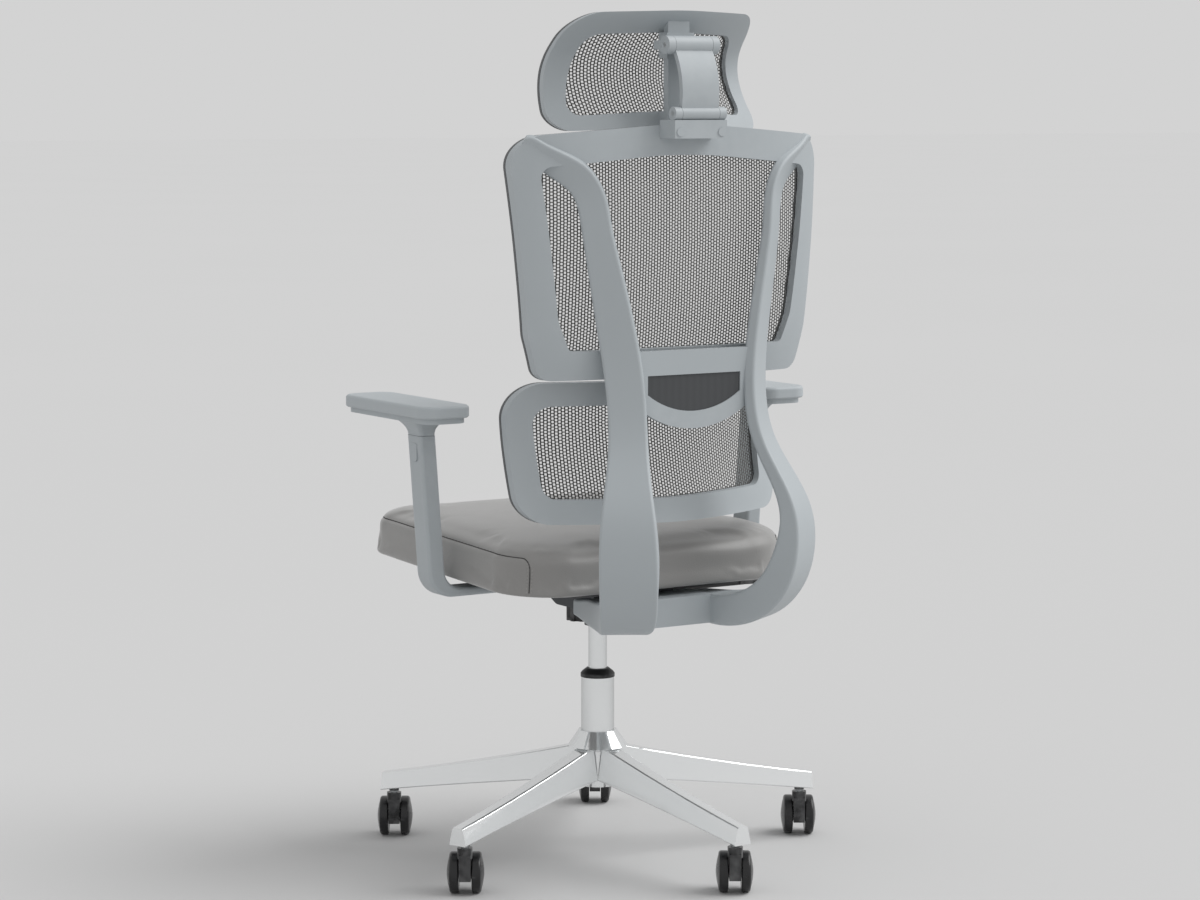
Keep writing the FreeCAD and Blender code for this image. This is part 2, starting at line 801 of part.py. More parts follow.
def arm_post():
    half = dim("arm_thick") / 2
    top = dim("arm_seam_z")
    level = dim("housing_top") + dim("plate_thickness")
    foot = dim("foot_thickness")
    profile = [V(dim("arm_root_x"), 0, level - foot), V(arm_point(level - foot, half).x, 0, level - foot),
               V(arm_point(top, half).x, 0, top), V(arm_point(top, -half).x, 0, top),
               V(arm_point(level, -half).x, 0, level), V(dim("arm_root_x"), 0, level)]
    radii = [0, dim("elbow_radius"), 0, 0, dim("elbow_inner_radius"), 0]
    solid = Part.Face(rounded_polygon(profile, radii)).extrude(V(0, dim("arm_depth"), 0))
    solid.translate(V(0, dim("arm_y") - dim("arm_depth") / 2, 0))
    long_edges = [edge for edge in solid.Edges if edge.BoundBox.YLength < 0.001
                  and edge.BoundBox.XMax > dim("arm_root_x") + 1 and edge.BoundBox.ZMin < top - 1]
    solid = solid.makeFillet(dim("arm_edge_radius"), long_edges)
    play = dim("slide_play")
    cavity = post_bar(dim("cavity_low_z"), top + 5, dim("inner_post_thick") + 2 * play,
                      dim("inner_post_depth") + 2 * play, 3)
    return solid.cut(cavity)


def arm_slider():
    """The inner post with its collar, flaring to the pad's support plate."""
    top = dim("arm_seam_z")
    bar = post_bar(dim("cavity_low_z") + dim("slide_rest"), top + 8, dim("inner_post_thick"),
                   dim("inner_post_depth"), 3)
    seam = dim("air")
    plate_z = dim("pad_top") - dim("pad_thickness") - dim("support_thickness")
    middle = (dim("pad_front") + dim("pad_rear")) / 2
    wires = []
    steps = 5
    for k in range(steps + 1):
        grow = (k / steps) ** 2.2
        z = top + seam + (plate_z + 1 - top - seam) * k / steps
        wide = dim("arm_thick") + dim("flare_thick") * grow
        deep = dim("arm_depth") + dim("flare_depth") * grow
        wires.append(section(arm_point(z), V(1, 0, 0), V(0, 1, 0), wide, deep, 6 + 5 * grow))
    flare = Part.makeLoft(wires, True, False)
    inset = dim("support_inset")
    wide = 2 * (dim("pad_half_width") - inset)
    deep = dim("pad_rear") - dim("pad_front") - 2 * inset
    centre = V(arm_point(plate_z).x, middle, plate_z)
    plate = Part.Face(section(centre, V(1, 0, 0), V(0, 1, 0), wide, deep, dim("pad_corner") - inset))
    return bar.multiFuse([flare, plate.extrude(V(0, 0, dim("support_thickness")))])


def arm_pad():
    """A flat pad with rounded corners and a stepped lower edge."""
    low = dim("pad_top") - dim("pad_thickness")
    x = arm_point(low - dim("support_thickness")).x
    centre = V(x, (dim("pad_front") + dim("pad_rear")) / 2, low)
    long = dim("pad_rear") - dim("pad_front")
    outline = section(centre, V(1, 0, 0), V(0, 1, 0), 2 * dim("pad_half_width"), long, dim("pad_corner"))
    solid = Part.Face(outline).extrude(V(0, 0, dim("pad_thickness")))
    top = [edge for edge in solid.Edges if edge.BoundBox.ZMin > dim("pad_top") - 0.01]
    bottom = [edge for edge in solid.Edges if edge.BoundBox.ZMax < low + 0.01]
    return solid.makeFillet(dim("pad_edge_radius"), top).makeChamfer(2, bottom)


def button_solid(grow, depth):
    """The release button on the outer face of the post, near its top."""
    spot = arm_point(dim("button_z"), dim("arm_thick") / 2)
    outline = section(spot, V(0, 1, 0), V(0, 0, 1), dim("button_width") + grow,
                      dim("button_height") + grow, 4)
    face = Part.Face(outline)
    face.translate(V(dim("button_rise"), 0, 0))
    return face.extrude(V(-depth - dim("button_rise"), 0, 0))


button = button_solid(0, 4.5)
pocket = button_solid(0.3, 5.5)
left_post = arm_post().cut(pocket)
arm_nodes = {"post": left_post, "slider": arm_slider(), "pad": arm_pad(), "release_button": button}
for arm_name, arm_shape in arm_nodes.items():
    for side, side_shape in zip(("left", "right"), both_sides(arm_shape)):
        feature(f"arm_{side}_{arm_name}", side_shape)

# ---------------------------------------------------------------- backrest: curved sheets

# Each profile gives the depth of a mesh panel's rear surface on the middle plane by height.
UPPER_SHEET = Curved([(720, 196), (760, 206), (800, 213), (850, 218), (900, 221), (950, 223),
                      (1000, 223), (1050, 222), (1120, 220)], dim("upper_bow"), 260.0, 4)
LOWER_SHEET = Curved([(515, 204), (550, 192), (600, 178), (650, 169), (690, 167), (750, 170)],
                     dim("lower_bow"), 228.0, 2)
HEAD_SHEET = Curved([(1080, 214), (1100, 196), (1120, 180), (1140, 167), (1160, 159), (1180, 157),
                     (1200, 163), (1220, 178), (1240, 199), (1270, 234)], dim("head_bow"), 180.0, 2)


def upper_outline(inset):
    """Outline of the tall ring; inset moves it inward to make the window."""
    side = inset * dim("ring_side") / dim("ring_rail")
    low = dim("upper_bottom_z") + inset
    top = dim("upper_top_z") - inset
    shoulder = dim("upper_shoulder_z") - inset
    bottom_half = dim("upper_half_bottom") - side
    waist_z = dim("upper_waist_z") + inset / 2
    waist_half = dim("upper_half_waist") - side
    top_half = dim("upper_half_top") - side
    soft = 1 - inset / (dim("ring_rail") * 1.6)
    return mirrored_outline([(0, low), (bottom_half, low), (waist_half, waist_z), (top_half, shoulder),
                             (0, top)], [0, 24 * soft, 60, 44 * soft, 900])


def lower_outline(inset):
    low = dim("lower_bottom_z") + inset
    top = dim("lower_top_z") - inset
    soft = 1 - inset / (dim("lower_rail") * 2.0)
    return mirrored_outline([(0, low), (dim("lower_half_bottom") - inset, low + 4),
                             (dim("lower_half_top") - inset, top)], [900, 40 * soft, 52 * soft])


def head_outline(inset):
    low = dim("head_bottom_z") + inset * dim("head_low_rail") / dim("head_rail")
    top = dim("head_top_z") - inset
    soft = 1 - inset / (dim("head_rail") * 2.4)
    return mirrored_outline([(0, low + 8), (dim("head_half_bottom") - inset, low),
                             (dim("head_half_top") - inset, top - 4), (0, top)],
                            [900, 24 * soft, 42 * soft, 900])


def mesh_set(prefix, sheet_surface, outline, rail):
    """Mesh carrier ring and mesh panel that lie in front of a rear ring."""
    skin = dim("mesh_thickness")
    seat = dim("sheet_gap")
    front = -dim("carrier_thickness")
    window = outline(rail)
    feature(prefix + "_mesh_carrier", sheet_surface.ring(outline(0), window, front, 0))
    feature(prefix + "_mesh", sheet_surface.panel(outline(rail - dim("mesh_grip")), seat, seat + skin))
    return skin + 2 * seat


# ---------------------------------------------------------------- backrest: moulded frame

# Centre of the left upright and yoke arm: x, y, z, width, depth and outward turn in degrees.
UPRIGHT = [
    (243, 192, 1078, 22, 12, 38),
    (226, 199, 1066, 36, 14, 38),
    (199, 211, 1048, 42, 15, 38),
    (172, 223, 1028, 44, 15, 38),
    (156, 231, 1000, 43, 15, 38),
    (149, 236, 960, 43, 15, 38),
    (139, 240, 904, 47, 16, 38),
    (121, 245, 810, 54, 17, 38),
    (111, 252, 730, 55, 17, 37),
    (115, 266, 655, 56, 18, 37),
    (132, 293, 595, 66, 20, 37),
    (143, 311, 545, 78, 26, 37),
    (142, 311, 495, 83, 36, 36),
    (133, 297, 448, 82, 44, 35),
    (117, 268, 414, 78, 48, 33),
    (101, 230, 399, 68, 46, 28),
    (90, 180, 396, 52, 42, 14),
    (85, 132, 396, 38, 36, 4),
    (84, 92, 397, 30, 24, 0),
]


def upright_solid():
    """One upright lofted from the ring's corner down and forward to its horn beside the housing."""
    places = [V(*row[:3]) for row in UPRIGHT]
    last = len(places) - 1
    wires = []
    for i, (x, y, z, width, depth, turn) in enumerate(UPRIGHT):
        run = unit(places[min(i + 1, last)] - places[max(i - 1, 0)])
        angle = math.radians(turn)
        across = V(math.cos(angle), -math.sin(angle), 0)
        across = unit(across - run * across.dot(run))
        edge = min(dim("blade_edge_radius"), depth / 2 - 1)
        wires.append(section(places[i], across, run.cross(across), width, depth, edge))
    return Part.makeLoft(wires, True, False)


def cross_panel_outline(half, top, end, low):
    """A plate with a straight top edge, upright ends and a smiling lower edge."""
    smile = Part.Arc(V(half, 0, end), V(0, 0, low), V(-half, 0, end)).toShape()
    rest = Part.makePolygon([V(-half, 0, end), V(-half, 0, top), V(half, 0, top), V(half, 0, end)])
    return Part.Wire(rest.Edges + [smile])


def lumbar_window():
    return cross_panel_outline(dim("window_half_width"), dim("window_top_z"), dim("window_end_z"),
                               dim("window_low_z"))


def plate_xz(outline, rear, thickness):
    moved = outline.copy()
    moved.translate(V(0, rear - thickness, 0))
    return Part.Face(moved).extrude(V(0, thickness, 0))


def housing_room():
    """The space that the housing's rear needs between the yoke's horns."""
    inner = dim("housing_half_width") + dim("air")
    front = dim("recline_y") - 80
    return Part.makeBox(2 * inner, dim("housing_rear") + 10 - front, 200,
                        V(-inner, front, dim("recline_z") - 100))


def yoke_web():
    """The web behind the housing that joins the yoke's two arms, with ribs under it."""
    half = dim("web_half_width")
    front = dim("housing_rear") + 10
    low = dim("recline_z") - dim("web_drop")
    web = Part.makeBox(2 * half, dim("web_rear") - front, dim("web_height"), V(-half, front, low))
    pocket_width = (2 * half - 4 * dim("rib_thickness")) / 3
    pockets = []
    for k in range(3):
        x = -half + dim("rib_thickness") + k * (pocket_width + dim("rib_thickness"))
        pockets.append(Part.makeBox(pocket_width, dim("web_rear") - front - 2 * dim("rib_thickness"),
                                    dim("rib_depth"), V(x, front + dim("rib_thickness"), low - 1)))
    return web.cut(compound(pockets))


def pivot_bosses():
    """Round bosses that carry the recline pin from the horns to the housing's sides."""
    inner = dim("housing_half_width") + dim("air")
    outer = dim("housing_half_width") + dim("pin_overhang") - 8
    boss = Part.makeCylinder(dim("pivot_boss_radius"), outer - inner,
                             V(inner, dim("recline_y"), dim("recline_z")), V(1, 0, 0))
    return both_sides(boss)


def pivot_bore():
    """The bore that the recline pin turns in, a little deeper than the pin's ends."""
    outer = dim("housing_half_width") + dim("pin_overhang") + dim("air")
    return Part.makeCylinder(dim("recline_pin_radius") + dim("running_gap"), 2 * outer,
                             V(-outer, dim("recline_y"), dim("recline_z")), V(1, 0, 0))


def back_frame():
    """Rear ring, two uprights, cross panel and yoke, moulded in one."""
    rear_of_mesh = dim("mesh_thickness") + 2 * dim("sheet_gap")
    ring = UPPER_SHEET.ring(upper_outline(0), upper_outline(dim("ring_rail")), rear_of_mesh,
                            dim("ring_thickness"))
    panel = plate_xz(cross_panel_outline(dim("panel_half_width"), dim("panel_top_z"), dim("panel_end_z"),
                                         dim("panel_low_z")), dim("panel_rear_y"), dim("panel_thickness"))
    window = plate_xz(lumbar_window(), dim("panel_rear_y") + 1, dim("panel_thickness") + 2)
    in_front = UPPER_SHEET.slab(-90, rear_of_mesh)
    uprights = both_sides(upright_solid().cut(in_front).cut(housing_room()))
    return ring.multiFuse([panel.cut(window), yoke_web()] + uprights + pivot_bosses()).cut(pivot_bore())


feature("back_frame", back_frame())
mesh_set("upper", UPPER_SHEET, upper_outline, dim("ring_rail"))

insert_thickness = dim("panel_thickness") - 2
feature("lumbar_insert", plate_xz(lumbar_window(), dim("panel_rear_y") - 2, insert_thickness))

feature("lower_ring", LOWER_SHEET.ring(lower_outline(0), lower_outline(dim("lower_rail")),
                                       dim("mesh_thickness") + 2 * dim("sheet_gap"),
                                       dim("lower_thickness")))
mesh_set("lower", LOWER_SHEET, lower_outline, dim("lower_rail"))


def standoffs():
    """Round posts that hold both rings' rails off the cross panel."""
    x = dim("standoff_x")
    front_face = dim("panel_rear_y") - dim("panel_thickness")
    posts = []
    for z, surface, thickness in ((dim("upper_standoff_z"), UPPER_SHEET, dim("ring_thickness")),
                                  (dim("lower_standoff_z"), LOWER_SHEET, dim("lower_thickness"))):
        near = surface.y(x, z) + thickness / 2
        post = Part.makeCylinder(dim("standoff_radius"), front_face - near, V(x, near, z), V(0, 1, 0))
        solid = surface.slab(-60, thickness + 0.05)
        posts += both_sides(post.cut(solid))
    return compound(posts)


feature("ring_standoffs", standoffs())

# ---------------------------------------------------------------- headrest

mesh_set("headrest", HEAD_SHEET, head_outline, dim("head_rail"))

LOW_PIVOT = V(0, dim("neck_low_y"), dim("neck_low_z"))
HIGH_PIVOT = V(0, dim("neck_high_y"), dim("neck_high_z"))


def headrest_frame():
    """The rear ring with a straight rail up the middle of its back."""
    ring = HEAD_SHEET.ring(head_outline(0), head_outline(dim("head_rail")),
                           dim("mesh_thickness") + 2 * dim("sheet_gap"), dim("head_thickness"))
    half = dim("rail_width") / 2
    front = dim("rail_front")
    bar = Part.makeBox(2 * half, dim("rail_depth"), dim("rail_high_z") - dim("rail_low_z"),
                       V(-half, front, dim("rail_low_z")))
    blocks = [bar]
    foot_height = 14
    for z in (dim("rail_low_z"), dim("rail_high_z") - foot_height):
        blocks.append(Part.makeBox(2 * half, 60, foot_height, V(-half, front + dim("rail_depth") - 60, z)))
    in_front = HEAD_SHEET.slab(-90, dim("mesh_thickness") + 2 * dim("sheet_gap"))
    return ring.multiFuse([block.cut(in_front) for block in blocks])


feature("headrest_frame", headrest_frame())


def barrel(pivot, radius, x0, x1):
    return Part.makeCylinder(radius, x1 - x0, pivot + V(x0, 0, 0), V(1, 0, 0))


def neck_slider():
    """The block that clasps the headrest's rail and carries the upper hinge's outer knuckles."""
    play = dim("slide_play")
    wall = dim("slider_wall")
    half = dim("rail_width") / 2 + play
    front = dim("rail_front") - play
    rear = dim("rail_front") + dim("rail_depth") + play
    low = HIGH_PIVOT.z - dim("slider_height") / 2
    outside = Part.makeBox(2 * (half + wall), rear - front + 2 * wall, dim("slider_height"),
                           V(-half - wall, front - wall, low))
    inside = Part.makeBox(2 * half, rear - front, dim("slider_height") + 2, V(-half, front, low - 1))
    slot = Part.makeBox(2 * half - 8, 30, dim("slider_height") + 2, V(4 - half, front - 20, low - 1))
    arm_depth = HIGH_PIVOT.y - rear
    radius = dim("high_knuckle_radius")
    reach = dim("neck_width") / 2
    end = reach + dim("knuckle_length")
    arm = Part.makeBox(2 * end, arm_depth, radius, V(-end, rear + 0.5, HIGH_PIVOT.z - radius / 2))
    ears = [barrel(HIGH_PIVOT, radius, reach + dim("air"), end),
            barrel(HIGH_PIVOT, radius, -end, -reach - dim("air"))]
    room = barrel(HIGH_PIVOT, radius + 1, -reach - dim("air"), reach + dim("air"))
    bore = barrel(HIGH_PIVOT, dim("neck_pin_radius"), -100, 100)
    return outside.cut(inside).cut(slot).fuse(arm).cut(room).multiFuse(ears).cut(bore)


feature("neck_slider", neck_slider())


def neck_link():
    """The curved link plate between the two hinges."""
    reach = dim("neck_width") / 2
    half = dim("neck_plate") / 2
    middle = (LOW_PIVOT + HIGH_PIVOT) * 0.5
    along = unit(HIGH_PIVOT - LOW_PIVOT)
    out = V(0, along.z, -along.y)
    bulge = dim("neck_bulge")
    rear = Part.Arc(LOW_PIVOT + out * half, middle + out * (bulge + half), HIGH_PIVOT + out * half).toShape()
    front = Part.Arc(HIGH_PIVOT - out * half, middle + out * (bulge - half), LOW_PIVOT - out * half).toShape()
    ends = [Part.LineSegment(HIGH_PIVOT + out * half, HIGH_PIVOT - out * half).toShape(),
            Part.LineSegment(LOW_PIVOT - out * half, LOW_PIVOT + out * half).toShape()]
    face = Part.Face(Part.Wire([rear, ends[0], front, ends[1]]))
    face.translate(V(-reach, 0, 0))
    plate = face.extrude(V(2 * reach, 0, 0))
    low = barrel(LOW_PIVOT, dim("knuckle_radius"), -reach, reach)
    high = barrel(HIGH_PIVOT, dim("high_knuckle_radius"), -reach, reach)
    gap = dim("running_gap")
    low_bore = barrel(LOW_PIVOT, dim("neck_pin_radius") + gap, -100, 100)
    high_bore = barrel(HIGH_PIVOT, dim("neck_pin_radius") + gap, -100, 100)
    return plate.multiFuse([low, high]).cut(low_bore).cut(high_bore)


feature("neck_link", neck_link())


def neck_bracket():
    """The block on the tall ring's top rail, with the lower hinge's outer knuckles."""
    half = dim("bracket_width") / 2
    low = dim("bracket_bottom")
    top = dim("bracket_top")
    front = dim("rail_front") - 20
    block = Part.makeBox(2 * half, LOW_PIVOT.y + 8 - front, top - low, V(-half, front, low))
    behind_ring = UPPER_SHEET.slab(-100, dim("ring_thickness") + dim("sheet_gap"))
    reach = dim("neck_width") / 2
    radius = dim("knuckle_radius")
    room = barrel(LOW_PIVOT, radius + 1, -reach - dim("air"), reach + dim("air"))
    end = reach + dim("knuckle_length")
    ears = [barrel(LOW_PIVOT, radius, reach + dim("air"), end),
            barrel(LOW_PIVOT, radius, -end, -reach - dim("air"))]
    bore = barrel(LOW_PIVOT, dim("neck_pin_radius"), -100, 100)
    return block.cut(behind_ring).cut(room).multiFuse(ears).cut(bore)


feature("neck_bracket", neck_bracket())

pin_half = dim("neck_width") / 2 + dim("knuckle_length")
feature("neck_low_pin", barrel(LOW_PIVOT, dim("neck_pin_radius"), -pin_half, pin_half))
feature("neck_high_pin", barrel(HIGH_PIVOT, dim("neck_pin_radius"), -pin_half, pin_half))


def screw_caps():
    """Two round caps that plug the bracket's screw holes from behind."""
    x = dim("bracket_width") / 2 - dim("cap_radius") - 3
    spot = V(x, LOW_PIVOT.y + 8, (dim("bracket_bottom") + dim("bracket_top")) / 2 - 4)
    return compound(both_sides(Part.makeCylinder(dim("cap_radius"), dim("cap_rise"), spot, V(0, 1, 0))))


feature("bracket_screw_caps", screw_caps())

# ---------------------------------------------------------------- checks and export

doc.recompute()
for obj in doc.Objects:
    if "Invalid" in obj.State or "Error" in obj.State:
        raise RuntimeError(f"{obj.Label} failed to recompute: {obj.State}")
for label, obj in nodes.items():
    if obj.Shape.isNull() or not obj.Shape.isValid() or obj.Shape.Volume <= 0:
        raise RuntimeError(f"{label} has no valid solid")

os.makedirs("parts", exist_ok=True)
for label, obj in nodes.items():
    obj.Shape.exportStep(f"parts/{label}.step")
print(len(nodes), "nodes written")
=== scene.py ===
"""Looks of the high-back mesh office chair: pieces, materials, floor, lights and camera.

Everything is in metres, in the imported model's frame: +Z up, the chair faces -Y.
"""

import json
import math

import bmesh
import bpy
from bpy.props import FloatProperty, FloatVectorProperty, PointerProperty
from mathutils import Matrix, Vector
from mathutils.bvhtree import BVHTree
from mathutils.kdtree import KDTree


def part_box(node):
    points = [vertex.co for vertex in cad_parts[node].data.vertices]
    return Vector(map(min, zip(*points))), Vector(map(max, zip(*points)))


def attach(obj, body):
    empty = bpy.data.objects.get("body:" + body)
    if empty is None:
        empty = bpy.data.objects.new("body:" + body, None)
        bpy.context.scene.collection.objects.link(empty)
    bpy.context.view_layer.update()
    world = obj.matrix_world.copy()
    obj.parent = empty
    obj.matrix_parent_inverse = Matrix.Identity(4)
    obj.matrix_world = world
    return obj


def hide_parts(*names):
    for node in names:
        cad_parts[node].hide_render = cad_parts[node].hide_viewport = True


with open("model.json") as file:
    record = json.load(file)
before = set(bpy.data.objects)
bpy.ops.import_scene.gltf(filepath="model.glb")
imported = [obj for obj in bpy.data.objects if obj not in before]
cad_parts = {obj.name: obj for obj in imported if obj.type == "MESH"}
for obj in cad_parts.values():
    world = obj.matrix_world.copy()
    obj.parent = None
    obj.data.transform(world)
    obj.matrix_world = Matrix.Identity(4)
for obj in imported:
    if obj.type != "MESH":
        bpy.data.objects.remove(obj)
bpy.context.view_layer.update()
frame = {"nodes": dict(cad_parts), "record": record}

bl_info = {
    "name": "Mesh Office Chair",
    "version": (1, 0, 0),
    "blender": (4, 5, 0),
    "location": "View3D > Sidebar > Office Chair",
    "description": "Builds the looks of a high-back mesh office chair around its packed frame",
    "category": "Object",
}


# ---------------------------------------------------------------- settings


def length_setting(name, description, default):
    return FloatProperty(name=name, description=description, default=default, min=0.0, unit="LENGTH",
                         subtype="DISTANCE", precision=5)


def colour_setting(name, description, default):
    return FloatVectorProperty(name=name, description=description, default=default, size=3, min=0.0,
                               max=1.0, subtype="COLOR")


class ChairFinishSettings(bpy.types.PropertyGroup):
    """Colours of the chair's finishes, as linear values."""

    plastic: colour_setting("Plastic", "Light blue-grey of the moulded frame", (0.42, 0.455, 0.475))
    pad: colour_setting("Arm pad", "Light grey of the arm pads", (0.44, 0.475, 0.495))
    thread: colour_setting("Mesh thread", "Dark threads of the back mesh", (0.050, 0.050, 0.048))
    filler: colour_setting("Mesh filler", "Grey-beige yarn across the dark threads", (0.26, 0.255, 0.24))
    fabric_edge: colour_setting("Fabric edge", "Fabric around the mesh carriers", (0.12, 0.125, 0.13))
    upholstery: colour_setting("Upholstery", "Grey coated cover of the seat", (0.262, 0.257, 0.250))
    # Painted shade: the dark tubes laid in the seams' pressed-in folds.
    seam: colour_setting("Seam", "Shaded fold of the cushion's seams", (0.045, 0.043, 0.042))
    stitch: colour_setting("Stitch", "Grey thread of the cushion's stitches", (0.42, 0.41, 0.40))
    insert: colour_setting("Lumbar insert", "Dark grey of the lumbar insert", (0.055, 0.058, 0.062))
    chrome: colour_setting("Chrome", "Polished metal of the base", (0.93, 0.945, 0.95))
    steel: colour_setting("Steel", "Dull zinc-plated steel", (0.50, 0.52, 0.53))
    housing: colour_setting("Housing", "Dark paint of the tilt housing", (0.040, 0.045, 0.052))
    caster: colour_setting("Caster", "Black nylon of the casters", (0.010, 0.010, 0.011))


class ChairSizeSettings(bpy.types.PropertyGroup):
    """Sizes of the soft pieces and of the weave."""

    mesh_pitch: length_setting("Mesh pitch", "Distance between two dark threads of the mesh", 0.0048)
    mesh_thread: length_setting("Thread width", "Width of one dark thread", 0.0017)
    seat_pitch: FloatProperty(name="Seat pitch", description="How far the seat's front is tipped up",
                              default=math.radians(2.3), subtype="ANGLE")
    seat_base: length_setting("Seat base", "Height of the seat's base plane over the floor", 0.4335)
    seat_thickness: length_setting("Seat thickness", "Height of the cushion over its base plane", 0.072)
    seat_front_radius: length_setting("Front corner", "Plan radius of the front corners", 0.060)
    seat_rear_radius: length_setting("Rear corner", "Plan radius of the rear corners", 0.100)
    seat_crown: length_setting("Seat crown", "Rise of the cushion's middle over its edge", 0.006)
    seat_margin: length_setting("Fill margin", "Room left for the cover to fill out", 0.006)
    seat_rim: length_setting("Rim radius", "Rounding of the cushion's upper edge", 0.020)
    pan_margin: length_setting("Pan margin", "Distance of the seat pan from the cushion's edge", 0.024)
    pan_pocket: length_setting("Pan pocket", "Depth of the pocket that the pan fills", 0.0115)
    seat_voxel: length_setting("Seat voxel", "Voxel size of the cushion's remesh", 0.006)
    seam_drop: length_setting("Seam drop", "Distance of the top seam below the cushion's top", 0.013)
    # Radius of the tube of painted seam shade.
    seam_radius: length_setting("Seam radius", "Half the width of the seam's fold", 0.0008)
    stitch_pitch: length_setting("Stitch pitch", "Distance between two stitches", 0.0052)
    stitch_length: length_setting("Stitch length", "Length of one stitch", 0.0034)
    stitch_row: length_setting("Stitch row", "Distance of a row of stitches from its seam", 0.0034)


class ChairStageSettings(bpy.types.PropertyGroup):
    """The camera and the light."""

    focal_length: FloatProperty(name="Focal length", description="Camera lens in millimetres",
                                default=95.11, min=1.0)
    camera_turn: FloatProperty(name="Camera turn", description="Camera's turn from the chair's rear",
                               default=math.radians(32.0), subtype="ANGLE")
    camera_pitch: FloatProperty(name="Camera pitch", description="How far the camera looks down",
                                default=math.radians(6.299764), subtype="ANGLE")
    camera_distance: length_setting("Camera distance", "Level distance from the lift's axis", 4.72466)
    camera_height: length_setting("Camera height", "Height of the lens over the floor", 1.13586)
    camera_side: length_setting("Camera side step", "Sideways shift of the lens", 0.00357)
    floor_size: length_setting("Floor size", "Side of the square floor", 160.0)
    surround: FloatProperty(name="Surround", description="Brightness of the even light all round",
                            default=0.651, min=0.0)
    floor_tone: FloatProperty(name="Floor tone", description="Grey of the floor", default=0.60, min=0.0,
                              max=1.0)
    key_strength: FloatProperty(name="Key strength", description="Strength of the soft key light",
                                default=1.8, min=0.0)


def finishes():
    return bpy.context.scene.chair_finish


def sizes():
    return bpy.context.scene.chair_sizes


# ---------------------------------------------------------------- shader groups


class Graph:
    """A short way to place and link the nodes of a material or of a shader group."""

    def __init__(self, tree):
        self.tree = tree

    def node(self, kind, inputs=None, **settings):
        made = self.tree.nodes.new(kind)
        for name, setting in settings.items():
            setattr(made, name, setting)
        for key, source in (inputs or {}).items():
            self.feed(made.inputs[key], source)
        return made

    def feed(self, socket, source):
        if isinstance(source, bpy.types.NodeSocket):
            self.tree.links.new(source, socket)
        else:
            socket.default_value = source

    def math(self, operation, first, second=0.0):
        made = self.node("ShaderNodeMath", {0: first, 1: second}, operation=operation)
        return made.outputs[0]

    def mix(self, factor, first, second):
        made = self.node("ShaderNodeMix", data_type="RGBA")
        self.feed(made.inputs[0], factor)
        self.feed(made.inputs[6], first)
        self.feed(made.inputs[7], second)
        return made.outputs[2]

    def noise(self, vector, scale, detail=2.0, roughness=0.5):
        made = self.node("ShaderNodeTexNoise", {"Vector": vector, "Scale": scale, "Detail": detail,
                                                "Roughness": roughness})
        return made.outputs["Fac"]

    def span(self, value, low, high, out_low=0.0, out_high=1.0):
        made = self.node("ShaderNodeMapRange", {"Value": value, "From Min": low, "From Max": high,
                                                "To Min": out_low, "To Max": out_high})
        return made.outputs["Result"]


def new_group(name, inputs, outputs):
    """A shader group with named sockets; returns its graph, its inputs and its output node."""
    tree = bpy.data.node_groups.new(name, "ShaderNodeTree")
    kinds = {"value": "NodeSocketFloat", "colour": "NodeSocketColor", "vector": "NodeSocketVector"}
    for label, (kind, default) in inputs.items():
        socket = tree.interface.new_socket(label, in_out="INPUT", socket_type=kinds[kind])
        if default is not None:
            socket.default_value = default
    for label, kind in outputs.items():
        tree.interface.new_socket(label, in_out="OUTPUT", socket_type=kinds[kind])
    graph = Graph(tree)
    entry = graph.node("NodeGroupInput")
    leave = graph.node("NodeGroupOutput")
    return graph, entry.outputs, leave.inputs


def rgba(colour):
    return (*colour, 1.0)


def grain_group():
    """Fine moulded grain: a height, a slow colour change and a roughness that varies."""
    graph, given, out = new_group(
        "moulded_grain",
        {"Colour": ("colour", (0.5, 0.5, 0.5, 1)), "Scale": ("value", 900.0),
         "Variation": ("value", 0.05), "Roughness": ("value", 0.45)},
        {"Colour": "colour", "Roughness": "value", "Height": "value"})
    place = graph.node("ShaderNodeTexCoord").outputs["Object"]
    fine = graph.noise(place, given["Scale"], 3.0, 0.6)
    slow = graph.noise(place, 5.0, 3.0, 0.5)
    dark = graph.math("MULTIPLY", given["Variation"], graph.math("SUBTRACT", slow, 0.5))
    shade = graph.math("ADD", 1.0, graph.math("MULTIPLY", dark, 2.0))
    scaled = graph.node("ShaderNodeVectorMath", {0: given["Colour"], "Scale": shade}, operation="SCALE")
    graph.feed(out["Colour"], scaled.outputs[0])
    wear = graph.math("MULTIPLY", graph.math("SUBTRACT", graph.noise(place, 30.0, 4.0), 0.5), 0.12)
    graph.feed(out["Roughness"], graph.math("ADD", given["Roughness"], wear))
    graph.feed(out["Height"], fine)
    return graph.tree


def edge_tint_group():
    """Where edges stick out, the colour is made a little paler, in a broken pattern."""
    graph, given, out = new_group(
        "edge_tint", {"Colour": ("colour", (0.5, 0.5, 0.5, 1)), "Amount": ("value", 0.2)},
        {"Colour": "colour"})
    geometry = graph.node("ShaderNodeNewGeometry")
    place = graph.node("ShaderNodeTexCoord").outputs["Object"]
    edge = graph.span(geometry.outputs["Pointiness"], 0.52, 0.62)
    broken = graph.math("MULTIPLY", edge, graph.span(graph.noise(place, 60.0, 4.0), 0.35, 0.65))
    mask = graph.math("MULTIPLY", broken, given["Amount"])
    graph.feed(out["Colour"], graph.mix(mask, given["Colour"], (0.85, 0.86, 0.87, 1)))
    return graph.tree


